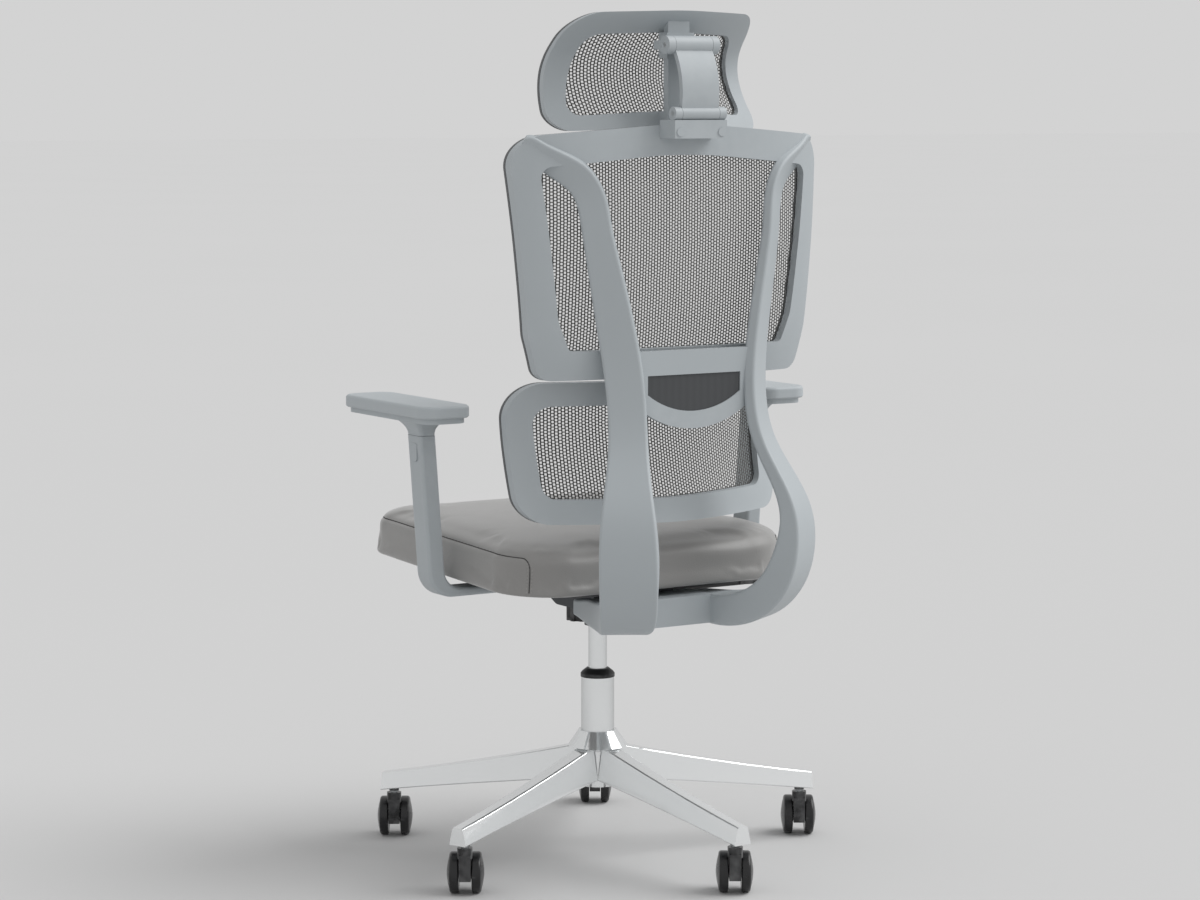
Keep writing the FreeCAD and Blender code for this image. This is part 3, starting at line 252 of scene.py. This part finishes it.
def weave_group():
    """Open mesh: upright dark threads, staggered yarn across them and small gaps between."""
    graph, given, out = new_group(
        "open_weave",
        {"Thread": ("colour", (0.05, 0.05, 0.05, 1)), "Filler": ("colour", (0.5, 0.5, 0.5, 1)),
         "Pitch": ("value", 0.0046), "Width": ("value", 0.33)},
        {"Colour": "colour", "Cover": "value", "Height": "value"})
    place = graph.node("ShaderNodeTexCoord").outputs["Object"]
    split = graph.node("ShaderNodeSeparateXYZ", {0: place})
    wobble = graph.math("MULTIPLY", graph.math("SUBTRACT", graph.noise(place, 55.0, 2.0), 0.5), 0.35)
    columns = graph.math("ADD", graph.math("DIVIDE", split.outputs["X"], given["Pitch"]), wobble)
    level = graph.math("ADD", graph.math("DIVIDE", split.outputs["Z"], given["Pitch"]), wobble)
    odd = graph.math("FLOORED_MODULO", graph.math("FLOOR", columns), 2.0)
    rows = graph.math("ADD", level, graph.math("MULTIPLY", odd, 0.5))

    def thread(position, share):
        """1 on a thread, 0 between threads; share is the thread's part of the pitch."""
        saw = graph.math("ABSOLUTE", graph.math("SUBTRACT", graph.math("FRACT", position), 0.5))
        edge = graph.math("SUBTRACT", 0.5, graph.math("MULTIPLY", share, 0.5))
        return graph.math("GREATER_THAN", saw, edge)

    upright = thread(columns, given["Width"])
    across = thread(rows, given["Width"])
    tone = graph.span(graph.noise(place, 260.0, 2.0), 0.3, 0.7)
    yarn = graph.mix(tone, given["Filler"], given["Thread"])
    graph.feed(out["Colour"], graph.mix(upright, yarn, given["Thread"]))
    graph.feed(out["Cover"], graph.math("MAXIMUM", upright, across))
    graph.feed(out["Height"], graph.math("ADD", upright, graph.math("MULTIPLY", across, 0.6)))
    return graph.tree


# ---------------------------------------------------------------- materials


def new_material(name):
    """A node material with its Principled shader; returns the material, its graph and the shader."""
    if name in bpy.data.materials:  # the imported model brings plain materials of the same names
        bpy.data.materials.remove(bpy.data.materials[name])
    material = bpy.data.materials.new(name)
    material.use_nodes = True
    material.node_tree.nodes.clear()
    graph = Graph(material.node_tree)
    shader = graph.node("ShaderNodeBsdfPrincipled")
    output = graph.node("ShaderNodeOutputMaterial")
    graph.feed(output.inputs["Surface"], shader.outputs["BSDF"])
    return material, graph, shader


def place_group(graph, group, **inputs):
    made = graph.node("ShaderNodeGroup")
    made.node_tree = group
    for name, source in inputs.items():
        graph.feed(made.inputs[name], source)
    return made.outputs


def bump(graph, shader, height, distance, strength=1.0):
    made = graph.node("ShaderNodeBump", {"Height": height, "Distance": distance, "Strength": strength})
    graph.feed(shader.inputs["Normal"], made.outputs["Normal"])


def moulded_plastic(name, colour, roughness, grain_scale=900.0, depth=0.00006, edge_tint_amount=0.15):
    """Injection-moulded plastic with a fine eroded texture and edges made a little paler."""
    material, graph, shader = new_material(name)
    edge_tinted = place_group(graph, bpy.data.node_groups["edge_tint"], Colour=rgba(colour), Amount=edge_tint_amount)
    grain = place_group(graph, bpy.data.node_groups["moulded_grain"], Colour=edge_tinted["Colour"],
                        Scale=grain_scale, Roughness=roughness)
    graph.feed(shader.inputs["Base Color"], grain["Colour"])
    graph.feed(shader.inputs["Roughness"], grain["Roughness"])
    bump(graph, shader, grain["Height"], depth)
    return material


def polished_chrome(name, colour, roughness=0.11, metallic=0.72, rim_shade=0.35):
    """Bright plating with faint polishing lines, and painted shade that darkens it toward its rims where
    they turn edge-on to the camera, standing in for darker reflections.
    """
    material, graph, shader = new_material(name)
    # Painted shade: the colour darkens toward edge-on rims, standing in for darker reflections.
    facing = graph.node("ShaderNodeLayerWeight", {"Blend": 0.5}).outputs["Facing"]
    rim = graph.math("MULTIPLY", graph.math("POWER", facing, 1.6), rim_shade)
    rim_shade_colour = tuple(0.30 * part for part in colour)
    plating_with_painted_shade = graph.mix(rim, rgba(colour), rgba(rim_shade_colour))
    grain = place_group(graph, bpy.data.node_groups["moulded_grain"], Colour=plating_with_painted_shade, Scale=220.0,
                        Variation=0.03, Roughness=roughness)
    graph.feed(shader.inputs["Base Color"], grain["Colour"])
    graph.feed(shader.inputs["Roughness"], grain["Roughness"])
    shader.inputs["Metallic"].default_value = metallic
    bump(graph, shader, grain["Height"], 0.00002, 0.3)
    return material


def plain_metal(name, colour, roughness, metallic):
    material, graph, shader = new_material(name)
    grain = place_group(graph, bpy.data.node_groups["moulded_grain"], Colour=rgba(colour), Scale=400.0,
                        Variation=0.08, Roughness=roughness)
    graph.feed(shader.inputs["Base Color"], grain["Colour"])
    graph.feed(shader.inputs["Roughness"], grain["Roughness"])
    shader.inputs["Metallic"].default_value = metallic
    bump(graph, shader, grain["Height"], 0.00004)
    return material


def open_mesh(name):
    """The see-through mesh of the back: dark threads over paler filler yarn."""
    material, graph, shader = new_material(name)
    weave = place_group(graph, bpy.data.node_groups["open_weave"], Thread=rgba(finishes().thread),
                        Filler=rgba(finishes().filler), Pitch=sizes().mesh_pitch,
                        Width=sizes().mesh_thread / sizes().mesh_pitch)
    graph.feed(shader.inputs["Base Color"], weave["Colour"])
    graph.feed(shader.inputs["Alpha"], weave["Cover"])
    shader.inputs["Roughness"].default_value = 0.7
    bump(graph, shader, weave["Height"], 0.0006)
    return material


def wrapped_fabric(name, colour):
    """The close knit that wraps the mesh carriers."""
    material, graph, shader = new_material(name)
    place = graph.node("ShaderNodeTexCoord").outputs["Object"]
    ribs = graph.node("ShaderNodeTexWave", {"Vector": place, "Scale": 260.0, "Distortion": 1.5},
                      bands_direction="Z").outputs["Fac"]
    grain = place_group(graph, bpy.data.node_groups["moulded_grain"], Colour=rgba(colour), Scale=1500.0,
                        Variation=0.12, Roughness=0.85)
    graph.feed(shader.inputs["Base Color"], grain["Colour"])
    graph.feed(shader.inputs["Roughness"], grain["Roughness"])
    shader.inputs["Sheen Weight"].default_value = 0.3
    bump(graph, shader, graph.math("ADD", ribs, grain["Height"]), 0.0003)
    return material


def coated_cover(name, colour):
    """The seat's soft coated cover: pebbled grain, slow creases and a low sheen."""
    material, graph, shader = new_material(name)
    place = graph.node("ShaderNodeTexCoord").outputs["Object"]
    pebble = graph.node("ShaderNodeTexVoronoi", {"Vector": place, "Scale": 620.0},
                        feature="SMOOTH_F1").outputs["Distance"]
    crease = graph.noise(place, 14.0, 4.0, 0.5)
    grain = place_group(graph, bpy.data.node_groups["moulded_grain"], Colour=rgba(colour), Scale=1100.0,
                        Variation=0.07, Roughness=0.40)
    graph.feed(shader.inputs["Base Color"], grain["Colour"])
    graph.feed(shader.inputs["Roughness"], grain["Roughness"])
    shader.inputs["Sheen Weight"].default_value = 0.5
    height = graph.math("ADD", graph.math("MULTIPLY", pebble, 0.30), graph.math("MULTIPLY", crease, 1.2))
    bump(graph, shader, height, 0.0006)
    return material


def stitch_thread_and_seam_shade(name, colour):
    """Twisted thread: slanting ply lines along the stitches. In the seams' dark colour it is also the
    painted shade laid in their folds.
    """
    material, graph, shader = new_material(name)
    place = graph.node("ShaderNodeTexCoord").outputs["Object"]
    ply = graph.node("ShaderNodeTexWave", {"Vector": place, "Scale": 700.0, "Distortion": 0.6},
                     bands_direction="DIAGONAL").outputs["Fac"]
    grain = place_group(graph, bpy.data.node_groups["moulded_grain"], Colour=rgba(colour), Scale=2200.0,
                        Variation=0.15, Roughness=0.75)
    graph.feed(shader.inputs["Base Color"], grain["Colour"])
    graph.feed(shader.inputs["Roughness"], grain["Roughness"])
    bump(graph, shader, ply, 0.0002)
    return material


def ribbed_insert(name, colour):
    """The lumbar insert's matt plastic with faint upright ribs."""
    material, graph, shader = new_material(name)
    place = graph.node("ShaderNodeTexCoord").outputs["Object"]
    ribs = graph.node("ShaderNodeTexWave", {"Vector": place, "Scale": 26.0, "Distortion": 0.0},
                      bands_direction="X").outputs["Fac"]
    grain = place_group(graph, bpy.data.node_groups["moulded_grain"], Colour=rgba(colour), Scale=900.0,
                        Variation=0.05, Roughness=0.5)
    shade = graph.mix(graph.math("MULTIPLY", ribs, 0.04), grain["Colour"], (0.16, 0.17, 0.18, 1))
    graph.feed(shader.inputs["Base Color"], shade)
    graph.feed(shader.inputs["Roughness"], grain["Roughness"])
    bump(graph, shader, ribs, 0.0001)
    return material


def studio_floor(name):
    material, graph, shader = new_material(name)
    place = graph.node("ShaderNodeTexCoord").outputs["Object"]
    grey = bpy.context.scene.chair_stage.floor_tone
    slow = graph.span(graph.noise(place, 0.4, 2.0), 0.0, 1.0, grey - 0.006, grey + 0.006)
    tone = graph.node("ShaderNodeCombineColor", {0: slow, 1: slow, 2: slow})
    graph.feed(shader.inputs["Base Color"], tone.outputs[0])
    shader.inputs["Roughness"].default_value = 0.9
    shader.inputs["Specular IOR Level"].default_value = 0.0
    return material


def build_materials():
    """One material for each slot of the record."""
    look = finishes()
    return {
        "chromed_base": polished_chrome("chromed_base", look.chrome),
        # The tube's rims get strong painted shade.
        "chromed_tube": polished_chrome("chromed_tube", look.chrome, 0.22, 0.85, 0.8),
        "black_plastic": moulded_plastic("black_plastic", look.caster, 0.5),
        "caster_plastic": moulded_plastic("caster_plastic", look.caster, 0.28, 500.0, 0.00003),
        "bright_steel": plain_metal("bright_steel", look.steel, 0.35, 1.0),
        "dark_steel": plain_metal("dark_steel", look.housing, 0.5, 0.0),
        "dark_plastic": moulded_plastic("dark_plastic", look.caster, 0.6),
        "seat_leather": coated_cover("seat_leather", look.upholstery),
        "grey_plastic": moulded_plastic("grey_plastic", look.plastic, 0.46, edge_tint_amount=0.05),
        "arm_pad_foam": moulded_plastic("arm_pad_foam", look.pad, 0.55, 1300.0, 0.00009, 0.05),
        "grey_fabric_edge": wrapped_fabric("grey_fabric_edge", look.fabric_edge),
        "mesh_fabric": open_mesh("mesh_fabric"),
        "dark_insert": ribbed_insert("dark_insert", look.insert),
    }


class CHAIR_OT_materials(bpy.types.Operator):
    """Make the shader groups and materials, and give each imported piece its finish"""

    bl_idname = "chair.materials"
    bl_label = "Materials"

    def execute(self, context):
        grain_group()
        edge_tint_group()
        weave_group()
        # The seams' dark colour is painted shade for their folds.
        stitch_thread_and_seam_shade("painted_seam_shade", finishes().seam)
        stitch_thread_and_seam_shade("seat_stitch", finishes().stitch)
        materials = build_materials()
        for part in frame["record"]["subparts"]:
            piece = frame["nodes"][part["node"]]
            piece.data.materials.clear()
            piece.data.materials.append(materials[part["material_slot"]])
        return {"FINISHED"}


# ---------------------------------------------------------------- mesh helpers


def piece_from_bmesh(name, mesh, material_name, body):
    """Turns a bmesh into a named smooth piece with one material that rides on a body."""
    data = bpy.data.meshes.new(name)
    bmesh.ops.recalc_face_normals(mesh, faces=mesh.faces)
    mesh.to_mesh(data)
    mesh.free()
    piece = bpy.data.objects.new(name, data)
    bpy.context.scene.collection.objects.link(piece)
    data.materials.append(bpy.data.materials[material_name])
    for face in data.polygons:
        face.use_smooth = True
    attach(piece, body)
    return piece


def sweep_thread(mesh, points, normals, radius):
    """A six-sided closed tube through points that lie on a surface with the given normals."""
    rings = []
    last = len(points) - 1
    for k, (point, normal) in enumerate(zip(points, normals)):
        run = (points[min(k + 1, last)] - points[max(k - 1, 0)]).normalized()
        side = run.cross(normal).normalized()
        up = side.cross(run)
        ring = []
        for m in range(6):
            angle = math.pi * m / 3
            ring.append(mesh.verts.new(point + (up * math.sin(angle) + side * math.cos(angle)) * radius))
        rings.append(ring)
    for first, second in zip(rings, rings[1:]):
        for m in range(6):
            mesh.faces.new((first[m], first[m - 5], second[m - 5], second[m]))
    mesh.faces.new(rings[0])
    mesh.faces.new(rings[-1])


# ---------------------------------------------------------------- mesh panels

PANEL_STEP = 0.008  # size of one grid cell
PANEL_PROBE = 1.0  # where the rays start, well behind the back
PANEL_TRIES = 40  # steps that pull a spot beside the panel onto it


def stretched_mesh(node, name, body):
    """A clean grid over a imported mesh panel, lying on the panel's rear face."""
    source = frame["nodes"][node]
    tree = BVHTree.FromObject(source, bpy.context.evaluated_depsgraph_get())
    low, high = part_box(node)
    columns = round((high.x - low.x) / PANEL_STEP)
    rows = round((high.z - low.z) / PANEL_STEP)
    grid = bmesh.new()
    made = {}
    middle = (low.z + high.z) / 2
    for i in range(columns + 1):
        for j in range(rows + 1):
            x = low.x + (high.x - low.x) * i / columns
            z = low.z + (high.z - low.z) * j / rows
            for _ in range(PANEL_TRIES):
                hit = tree.ray_cast(Vector((x, PANEL_PROBE, z)), Vector((0, -1, 0)))[0]
                if hit is not None:
                    break
                x -= x * 0.01
                z += (middle - z) * 0.01
            if hit is not None:
                made[i, j] = grid.verts.new(hit)
    for i in range(columns):
        for j in range(rows):
            corners = [made.get(key) for key in ((i, j), (i + 1, j), (i + 1, j + 1), (i, j + 1))]
            if None not in corners:
                grid.faces.new(corners)
    area = sum(face.calc_area() for face in grid.faces)
    piece = piece_from_bmesh(name, grid, "mesh_fabric", body)
    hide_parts(node)
    return piece


class CHAIR_OT_mesh_panels(bpy.types.Operator):
    """Stretch the woven mesh over the tall ring, the short ring and the headrest"""

    bl_idname = "chair.mesh_panels"
    bl_label = "Mesh panels"

    def execute(self, context):
        stretched_mesh("upper_mesh", "tall_mesh_fabric", "back")
        stretched_mesh("lower_mesh", "short_mesh_fabric", "back")
        stretched_mesh("headrest_mesh", "headrest_mesh_fabric", "headrest")
        return {"FINISHED"}


# ---------------------------------------------------------------- seat cushion

UNDERSIDE = 0.003  # height of the cushion's lower rim over its base plane
LOWER_RIM = 0.009  # rounding of that lower rim
POCKET_AIR = 0.002  # height over the pan's pocket that still counts as the underside
FILL_PRESSURE = 4.0
FILL_FRAMES = 20
SEAM_BEND = 0.016  # rounding where the top seam turns down
SEAM_FOOT = 0.010  # height of the upright seams' lower ends
FOLD_REACH = 0.006  # how far from a seam the cover is drawn in
FOLD_DEPTH = 0.0016
FOLD_SINK = 0.0011  # depth of the tube of painted seam shade under the cover
STITCH_RADIUS = 0.00042


class SeatPlan:
    """The cushion's plan outline in its own tipped plane: u across, v to the rear, w up."""

    def __init__(self):
        size = sizes()
        low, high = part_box("seat_cushion")
        self.pitch = size.seat_pitch
        self.base = Vector((0, 0, size.seat_base))
        self.top = size.seat_thickness
        self.half = high.x
        lean = math.sin(self.pitch)
        self.front = (low.y - UNDERSIDE * lean) / math.cos(self.pitch)
        self.rear = (high.y - size.seat_thickness * lean) / math.cos(self.pitch)
        self.front_radius = size.seat_front_radius
        self.rear_radius = size.seat_rear_radius

    def inward(self, point):
        """Seat coordinates of a point of the room."""
        moved = point - self.base
        c = math.cos(self.pitch)
        s = math.sin(self.pitch)
        return Vector((moved.x, moved.y * c - moved.z * s, moved.y * s + moved.z * c))

    def outward(self, spot):
        """The room's point at seat coordinates."""
        return self.base + self.turn(spot)

    def turn(self, spot):
        c = math.cos(self.pitch)
        s = math.sin(self.pitch)
        return Vector((spot.x, spot.y * c + spot.z * s, -spot.y * s + spot.z * c))

    def edge(self, u, v, shrink=0.0):
        """Distance inside the outline and the level direction that leads straight out."""
        middle = (self.front + self.rear) / 2
        half = self.half - shrink
        deep = (self.rear - self.front) / 2 - shrink
        radius = (self.front_radius if v < middle else self.rear_radius) - shrink
        across = abs(u) - (half - radius)
        along = abs(v - middle) - (deep - radius)
        sign_u = math.copysign(1.0, u)
        sign_v = math.copysign(1.0, v - middle)
        if across > 0 and along > 0:
            reach = math.hypot(across, along)
            return radius - reach, Vector((sign_u * across / reach, sign_v * along / reach, 0))
        if across > along:
            return radius - across, Vector((sign_u, 0, 0))
        return radius - along, Vector((0, sign_v, 0))

    def side_length(self):
        quarter = math.pi / 4
        straight = self.rear - self.front - self.front_radius - self.rear_radius
        return quarter * self.front_radius + straight + quarter * self.rear_radius

    def side_spot(self, s, sign):
        """A point of the side's outline, s along it from the middle of the front corner."""
        turn = math.pi / 4
        first = turn * self.front_radius
        straight = self.rear - self.front - self.front_radius - self.rear_radius
        if s < first:
            angle = s / self.front_radius - turn
            centre = Vector((self.half - self.front_radius, self.front + self.front_radius, 0))
            radius = self.front_radius
        elif s < first + straight:
            return (Vector((sign * self.half, self.front + self.front_radius + s - first, 0)),
                    Vector((sign, 0, 0)))
        else:
            angle = (s - first - straight) / self.rear_radius
            centre = Vector((self.half - self.rear_radius, self.rear - self.rear_radius, 0))
            radius = self.rear_radius
        way = Vector((math.cos(angle), math.sin(angle), 0))
        spot = centre + way * radius
        return Vector((sign * spot.x, spot.y, 0)), Vector((sign * way.x, way.y, 0))


def modified_copy(source, name, make_modifiers):
    """A new mesh object that holds the source's mesh with some modifiers applied."""
    holder = bpy.data.objects.new(name, source.data.copy())
    bpy.context.scene.collection.objects.link(holder)
    make_modifiers(holder)
    graph = bpy.context.evaluated_depsgraph_get()
    data = bpy.data.meshes.new_from_object(holder.evaluated_get(graph))
    bpy.data.objects.remove(holder)
    data.name = name
    made = bpy.data.objects.new(name, data)
    bpy.context.scene.collection.objects.link(made)
    return made


def rounded_rim(inset, drop, radius):
    """Pulls a spot near the rim onto a round edge; inset and drop are its distances inside."""
    if inset >= radius or drop >= radius:
        return inset, drop
    away = Vector((radius - inset, radius - drop))
    if away.length <= radius:
        return inset, drop
    away = away.normalized() * radius
    return radius - away.x, radius - away.y


def slacken_cushion(cushion, plan):
    """Draws the cushion's form in and rounds its rims, so that the cover has room to fill."""
    size = sizes()
    margin = size.seat_margin
    top = plan.top - margin
    pocket = size.pan_pocket + POCKET_AIR
    for vertex in cushion.data.vertices:
        spot = plan.inward(vertex.co)
        inset, way = plan.edge(spot.x, spot.y)
        if inset > size.pan_margin - 0.004 and spot.z < pocket:
            continue
        spot -= way * margin * max(0.0, 1.0 - max(inset, 0.0) / 0.05)
        if spot.z > top - 0.02:
            spot.z -= margin * min(1.0, (spot.z - top + 0.02) / 0.02)
        inset, way = plan.edge(spot.x, spot.y, margin)
        bow = size.seat_crown * (1.0 - (1.0 - min(1.0, max(inset, 0.0) / 0.11)) ** 2)
        rims = ((top - spot.z, size.seat_rim, -1), (spot.z - UNDERSIDE, LOWER_RIM, 1))
        for drop, radius, sign in rims:
            round_inset, round_drop = rounded_rim(inset, drop, radius)
            spot -= way * (round_inset - inset)
            spot.z += sign * (round_drop - drop)
            inset = round_inset
        if spot.z > top - 0.012:
            spot.z += bow
        vertex.co = plan.outward(spot)


def fill_cushion(cushion, plan):
    """Fills the cover by pressure from within; its underside stays on the seat pan."""
    size = sizes()
    held = cushion.vertex_groups.new(name="underside")
    for vertex in cushion.data.vertices:
        spot = plan.inward(vertex.co)
        inset = plan.edge(spot.x, spot.y)[0]
        over_pan = inset > size.pan_margin - 0.006 and spot.z < size.pan_pocket + POCKET_AIR
        if spot.z < 2 * UNDERSIDE or over_pan:
            held.add([vertex.index], 1.0, "REPLACE")
    cloth = cushion.modifiers.new("filling", "CLOTH")
    cloth.settings.vertex_group_mass = "underside"
    cloth.settings.use_pressure = True
    cloth.settings.uniform_pressure_force = FILL_PRESSURE
    cloth.settings.effector_weights.gravity = 0.0
    cloth.settings.quality = 4
    cloth.point_cache.frame_start = 1
    cloth.point_cache.frame_end = FILL_FRAMES
    start = [vertex.co.copy() for vertex in cushion.data.vertices]
    scene = bpy.context.scene
    for number in range(1, FILL_FRAMES + 1):
        scene.frame_set(number)
    graph = bpy.context.evaluated_depsgraph_get()
    filled = cushion.evaluated_get(graph).data
    places = [vertex.co.copy() for vertex in filled.vertices]
    cushion.modifiers.remove(cloth)
    cushion.vertex_groups.clear()
    scene.frame_set(1)
    cap = size.seat_margin
    for vertex, old, new in zip(cushion.data.vertices, start, places):
        move = new - old
        if move.length > cap:
            move *= cap / move.length
        vertex.co = old + move


def seam_line(plan, sign):
    """Seat spots of one side panel's seam: up a front corner, along the side, down a rear corner."""
    size = sizes()
    low = SEAM_FOOT
    high = plan.top - size.seam_drop
    bend = SEAM_BEND
    end = plan.side_length()
    pairs = [(0.0, low + (high - bend - low) * k / 12) for k in range(12)]
    for k in range(6):
        angle = math.pi / 2 * k / 6
        pairs.append((bend - bend * math.cos(angle), high - bend + bend * math.sin(angle)))
    count = 96
    pairs += [(bend + (end - 2 * bend) * k / count, high) for k in range(count + 1)]
    half = len(pairs) - count // 2 - 1
    pairs += [(end - s, w) for s, w in reversed(pairs[:half - count // 2])]
    line = []
    for s, w in pairs:
        spot, way = plan.side_spot(s, sign)
        line.append((spot + Vector((0, 0, w)), way))
    return line


def on_cover(tree, plan, spot, way):
    """The cover's point and normal beside an outline spot."""
    start = plan.outward(spot + way * 0.04)
    hit, normal, _, _ = tree.ray_cast(start, -plan.turn(way))
    if hit is None:
        raise RuntimeError("a seam point misses the cushion")
    return hit, normal


def press_seams(cushion, lines):
    """Pulls the cover in along the seams, as the sewn fold does."""
    tree = KDTree(sum(len(line) for line in lines))
    index = 0
    for line in lines:
        for point, _ in line:
            tree.insert(point, index)
            index += 1
    tree.balance()
    for vertex in cushion.data.vertices:
        distance = tree.find(vertex.co)[2]
        if distance < FOLD_REACH:
            vertex.co -= vertex.normal * FOLD_DEPTH * (1.0 - distance / FOLD_REACH) ** 2


def lay_seam_shade_and_stitches(lines):
    """Dark tubes of painted shade in the seams' folds, and two rows of stitches along each upright seam.
    """
    size = sizes()
    shade_tubes = bmesh.new()
    stitches = bmesh.new()
    for line in lines:
        points = [point - normal * FOLD_SINK for point, normal in line]
        sweep_thread(shade_tubes, points, [normal for _, normal in line], size.seam_radius)
        upright = 14
        for part in (line[:upright], line[-upright:]):
            travelled = 0.0
            for (point, normal), (after, _) in zip(part, part[1:]):
                step = (after - point).length
                run = (after - point) / step
                side = run.cross(normal)
                while travelled < step:
                    for row in (-size.stitch_row, size.stitch_row):
                        middle = point + run * travelled + side * row - normal * 0.0001
                        ends = [middle - run * size.stitch_length / 2 - normal * 0.0004,
                                middle, middle + run * size.stitch_length / 2 - normal * 0.0004]
                        sweep_thread(stitches, ends, [normal] * 3, STITCH_RADIUS)
                    travelled += size.stitch_pitch
                travelled -= step
    piece_from_bmesh("painted_seam_shade_tubes", shade_tubes, "painted_seam_shade", "seat")
    piece_from_bmesh("seat_stitches", stitches, "seat_stitch", "seat")


class CHAIR_OT_cushion(bpy.types.Operator):
    """Fill the seat cushion's cover, press its seams in, lay painted shade in their folds and stitch the
    upright seams
    """

    bl_idname = "chair.cushion"
    bl_label = "Seat cushion"

    def execute(self, context):
        plan = SeatPlan()
        source = frame["nodes"]["seat_cushion"]

        def remesh(holder):
            voxels = holder.modifiers.new("voxels", "REMESH")
            voxels.mode = "VOXEL"
            voxels.voxel_size = sizes().seat_voxel

        def subdivide(holder):
            finer = holder.modifiers.new("finer", "SUBSURF")
            finer.levels = 1
            finer.render_levels = 1

        rough = modified_copy(source, "cushion_form", remesh)
        slacken_cushion(rough, plan)
        fill_cushion(rough, plan)
        cushion = modified_copy(rough, "seat_cushion_cover", subdivide)
        bpy.data.objects.remove(rough)
        tree = BVHTree.FromObject(cushion, context.evaluated_depsgraph_get())
        lines = []
        for sign in (-1.0, 1.0):
            lines.append([on_cover(tree, plan, spot, way) for spot, way in seam_line(plan, sign)])
        press_seams(cushion, lines)
        cushion.data.materials.clear()
        cushion.data.materials.append(bpy.data.materials["seat_leather"])
        for face in cushion.data.polygons:
            face.use_smooth = True
        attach(cushion, "seat")
        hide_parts("seat_cushion")
        lay_seam_shade_and_stitches(lines)
        return {"FINISHED"}


# ---------------------------------------------------------------- stage


def studio_floor_plane():
    """A wide level floor that runs to the horizon, where it meets a surround of the same tone."""
    half = bpy.context.scene.chair_stage.floor_size / 2
    cells = 16
    mesh = bmesh.new()
    bmesh.ops.create_grid(mesh, x_segments=cells, y_segments=cells, size=half)
    data = bpy.data.meshes.new("studio_floor")
    mesh.to_mesh(data)
    mesh.free()
    floor = bpy.data.objects.new("studio_floor", data)
    bpy.context.scene.collection.objects.link(floor)
    data.materials.append(studio_floor("studio_floor"))


def soft_sun(name, direction, spread, strength):
    """A wide, soft light that falls evenly over the floor from the given direction."""
    data = bpy.data.lights.new(name, "SUN")
    data.angle = math.radians(spread)
    data.energy = strength
    lamp = bpy.data.objects.new(name, data)
    lamp.location = Vector(direction) * 4.0
    lamp.rotation_euler = (-Vector(direction)).to_track_quat("-Z", "Y").to_euler()
    bpy.context.scene.collection.objects.link(lamp)


def studio_camera():
    stage = bpy.context.scene.chair_stage
    turn = stage.camera_turn
    pitch = stage.camera_pitch
    toward = Vector((math.sin(turn), math.cos(turn), 0))
    across = Vector((-math.cos(turn), math.sin(turn), 0))
    data = bpy.data.cameras.new("studio_camera")
    data.lens = stage.focal_length
    data.sensor_width = 36.0
    data.clip_end = 200.0
    camera = bpy.data.objects.new("studio_camera", data)
    camera.location = (toward * stage.camera_distance + across * stage.camera_side
                       + Vector((0, 0, stage.camera_height)))
    look = -toward * math.cos(pitch) - Vector((0, 0, math.sin(pitch)))
    camera.rotation_euler = look.to_track_quat("-Z", "Y").to_euler()
    bpy.context.scene.collection.objects.link(camera)
    bpy.context.scene.camera = camera


class CHAIR_OT_stage(bpy.types.Operator):
    """Lay the floor, hang the lights and set the camera"""

    bl_idname = "chair.stage"
    bl_label = "Floor, lights and camera"

    def execute(self, context):
        stage = context.scene.chair_stage
        studio_floor_plane()
        world = bpy.data.worlds.new("studio_world")
        world.use_nodes = True
        world.node_tree.nodes["Background"].inputs["Color"].default_value = (1.0, 1.0, 1.0, 1.0)
        world.node_tree.nodes["Background"].inputs["Strength"].default_value = stage.surround
        context.scene.world = world
        context.scene.view_settings.view_transform = "Standard"
        soft_sun("key_light", (-0.60, 0.32, 0.73), 50.0, stage.key_strength)
        studio_camera()
        return {"FINISHED"}


# ---------------------------------------------------------------- panel and registration


class CHAIR_PT_sidebar(bpy.types.Panel):
    """The chair's settings and the operators that build its pieces"""

    bl_idname = "CHAIR_PT_sidebar"
    bl_label = "Mesh office chair"
    bl_space_type = "VIEW_3D"
    bl_region_type = "UI"
    bl_category = "Office Chair"

    def draw(self, context):
        for group in (context.scene.chair_finish, context.scene.chair_sizes, context.scene.chair_stage):
            box = self.layout.box()
            for name in group.__annotations__:
                box.prop(group, name)
        for operator in BUILD_ORDER:
            self.layout.operator(operator.bl_idname)


BUILD_ORDER = (CHAIR_OT_materials, CHAIR_OT_mesh_panels, CHAIR_OT_cushion, CHAIR_OT_stage)
SETTINGS = {"chair_finish": ChairFinishSettings, "chair_sizes": ChairSizeSettings,
            "chair_stage": ChairStageSettings}


def register():
    for name, group in SETTINGS.items():
        bpy.utils.register_class(group)
        setattr(bpy.types.Scene, name, PointerProperty(type=group))
    for operator in BUILD_ORDER:
        bpy.utils.register_class(operator)
    bpy.utils.register_class(CHAIR_PT_sidebar)


def unregister():
    bpy.utils.unregister_class(CHAIR_PT_sidebar)
    for operator in reversed(BUILD_ORDER):
        bpy.utils.unregister_class(operator)
    for name, group in SETTINGS.items():
        delattr(bpy.types.Scene, name)
        bpy.utils.unregister_class(group)


def main():
    register()
    bpy.ops.chair.materials()
    bpy.ops.chair.mesh_panels()
    bpy.ops.chair.cushion()
    bpy.ops.chair.stage()


if __name__ == "__main__":
    main()
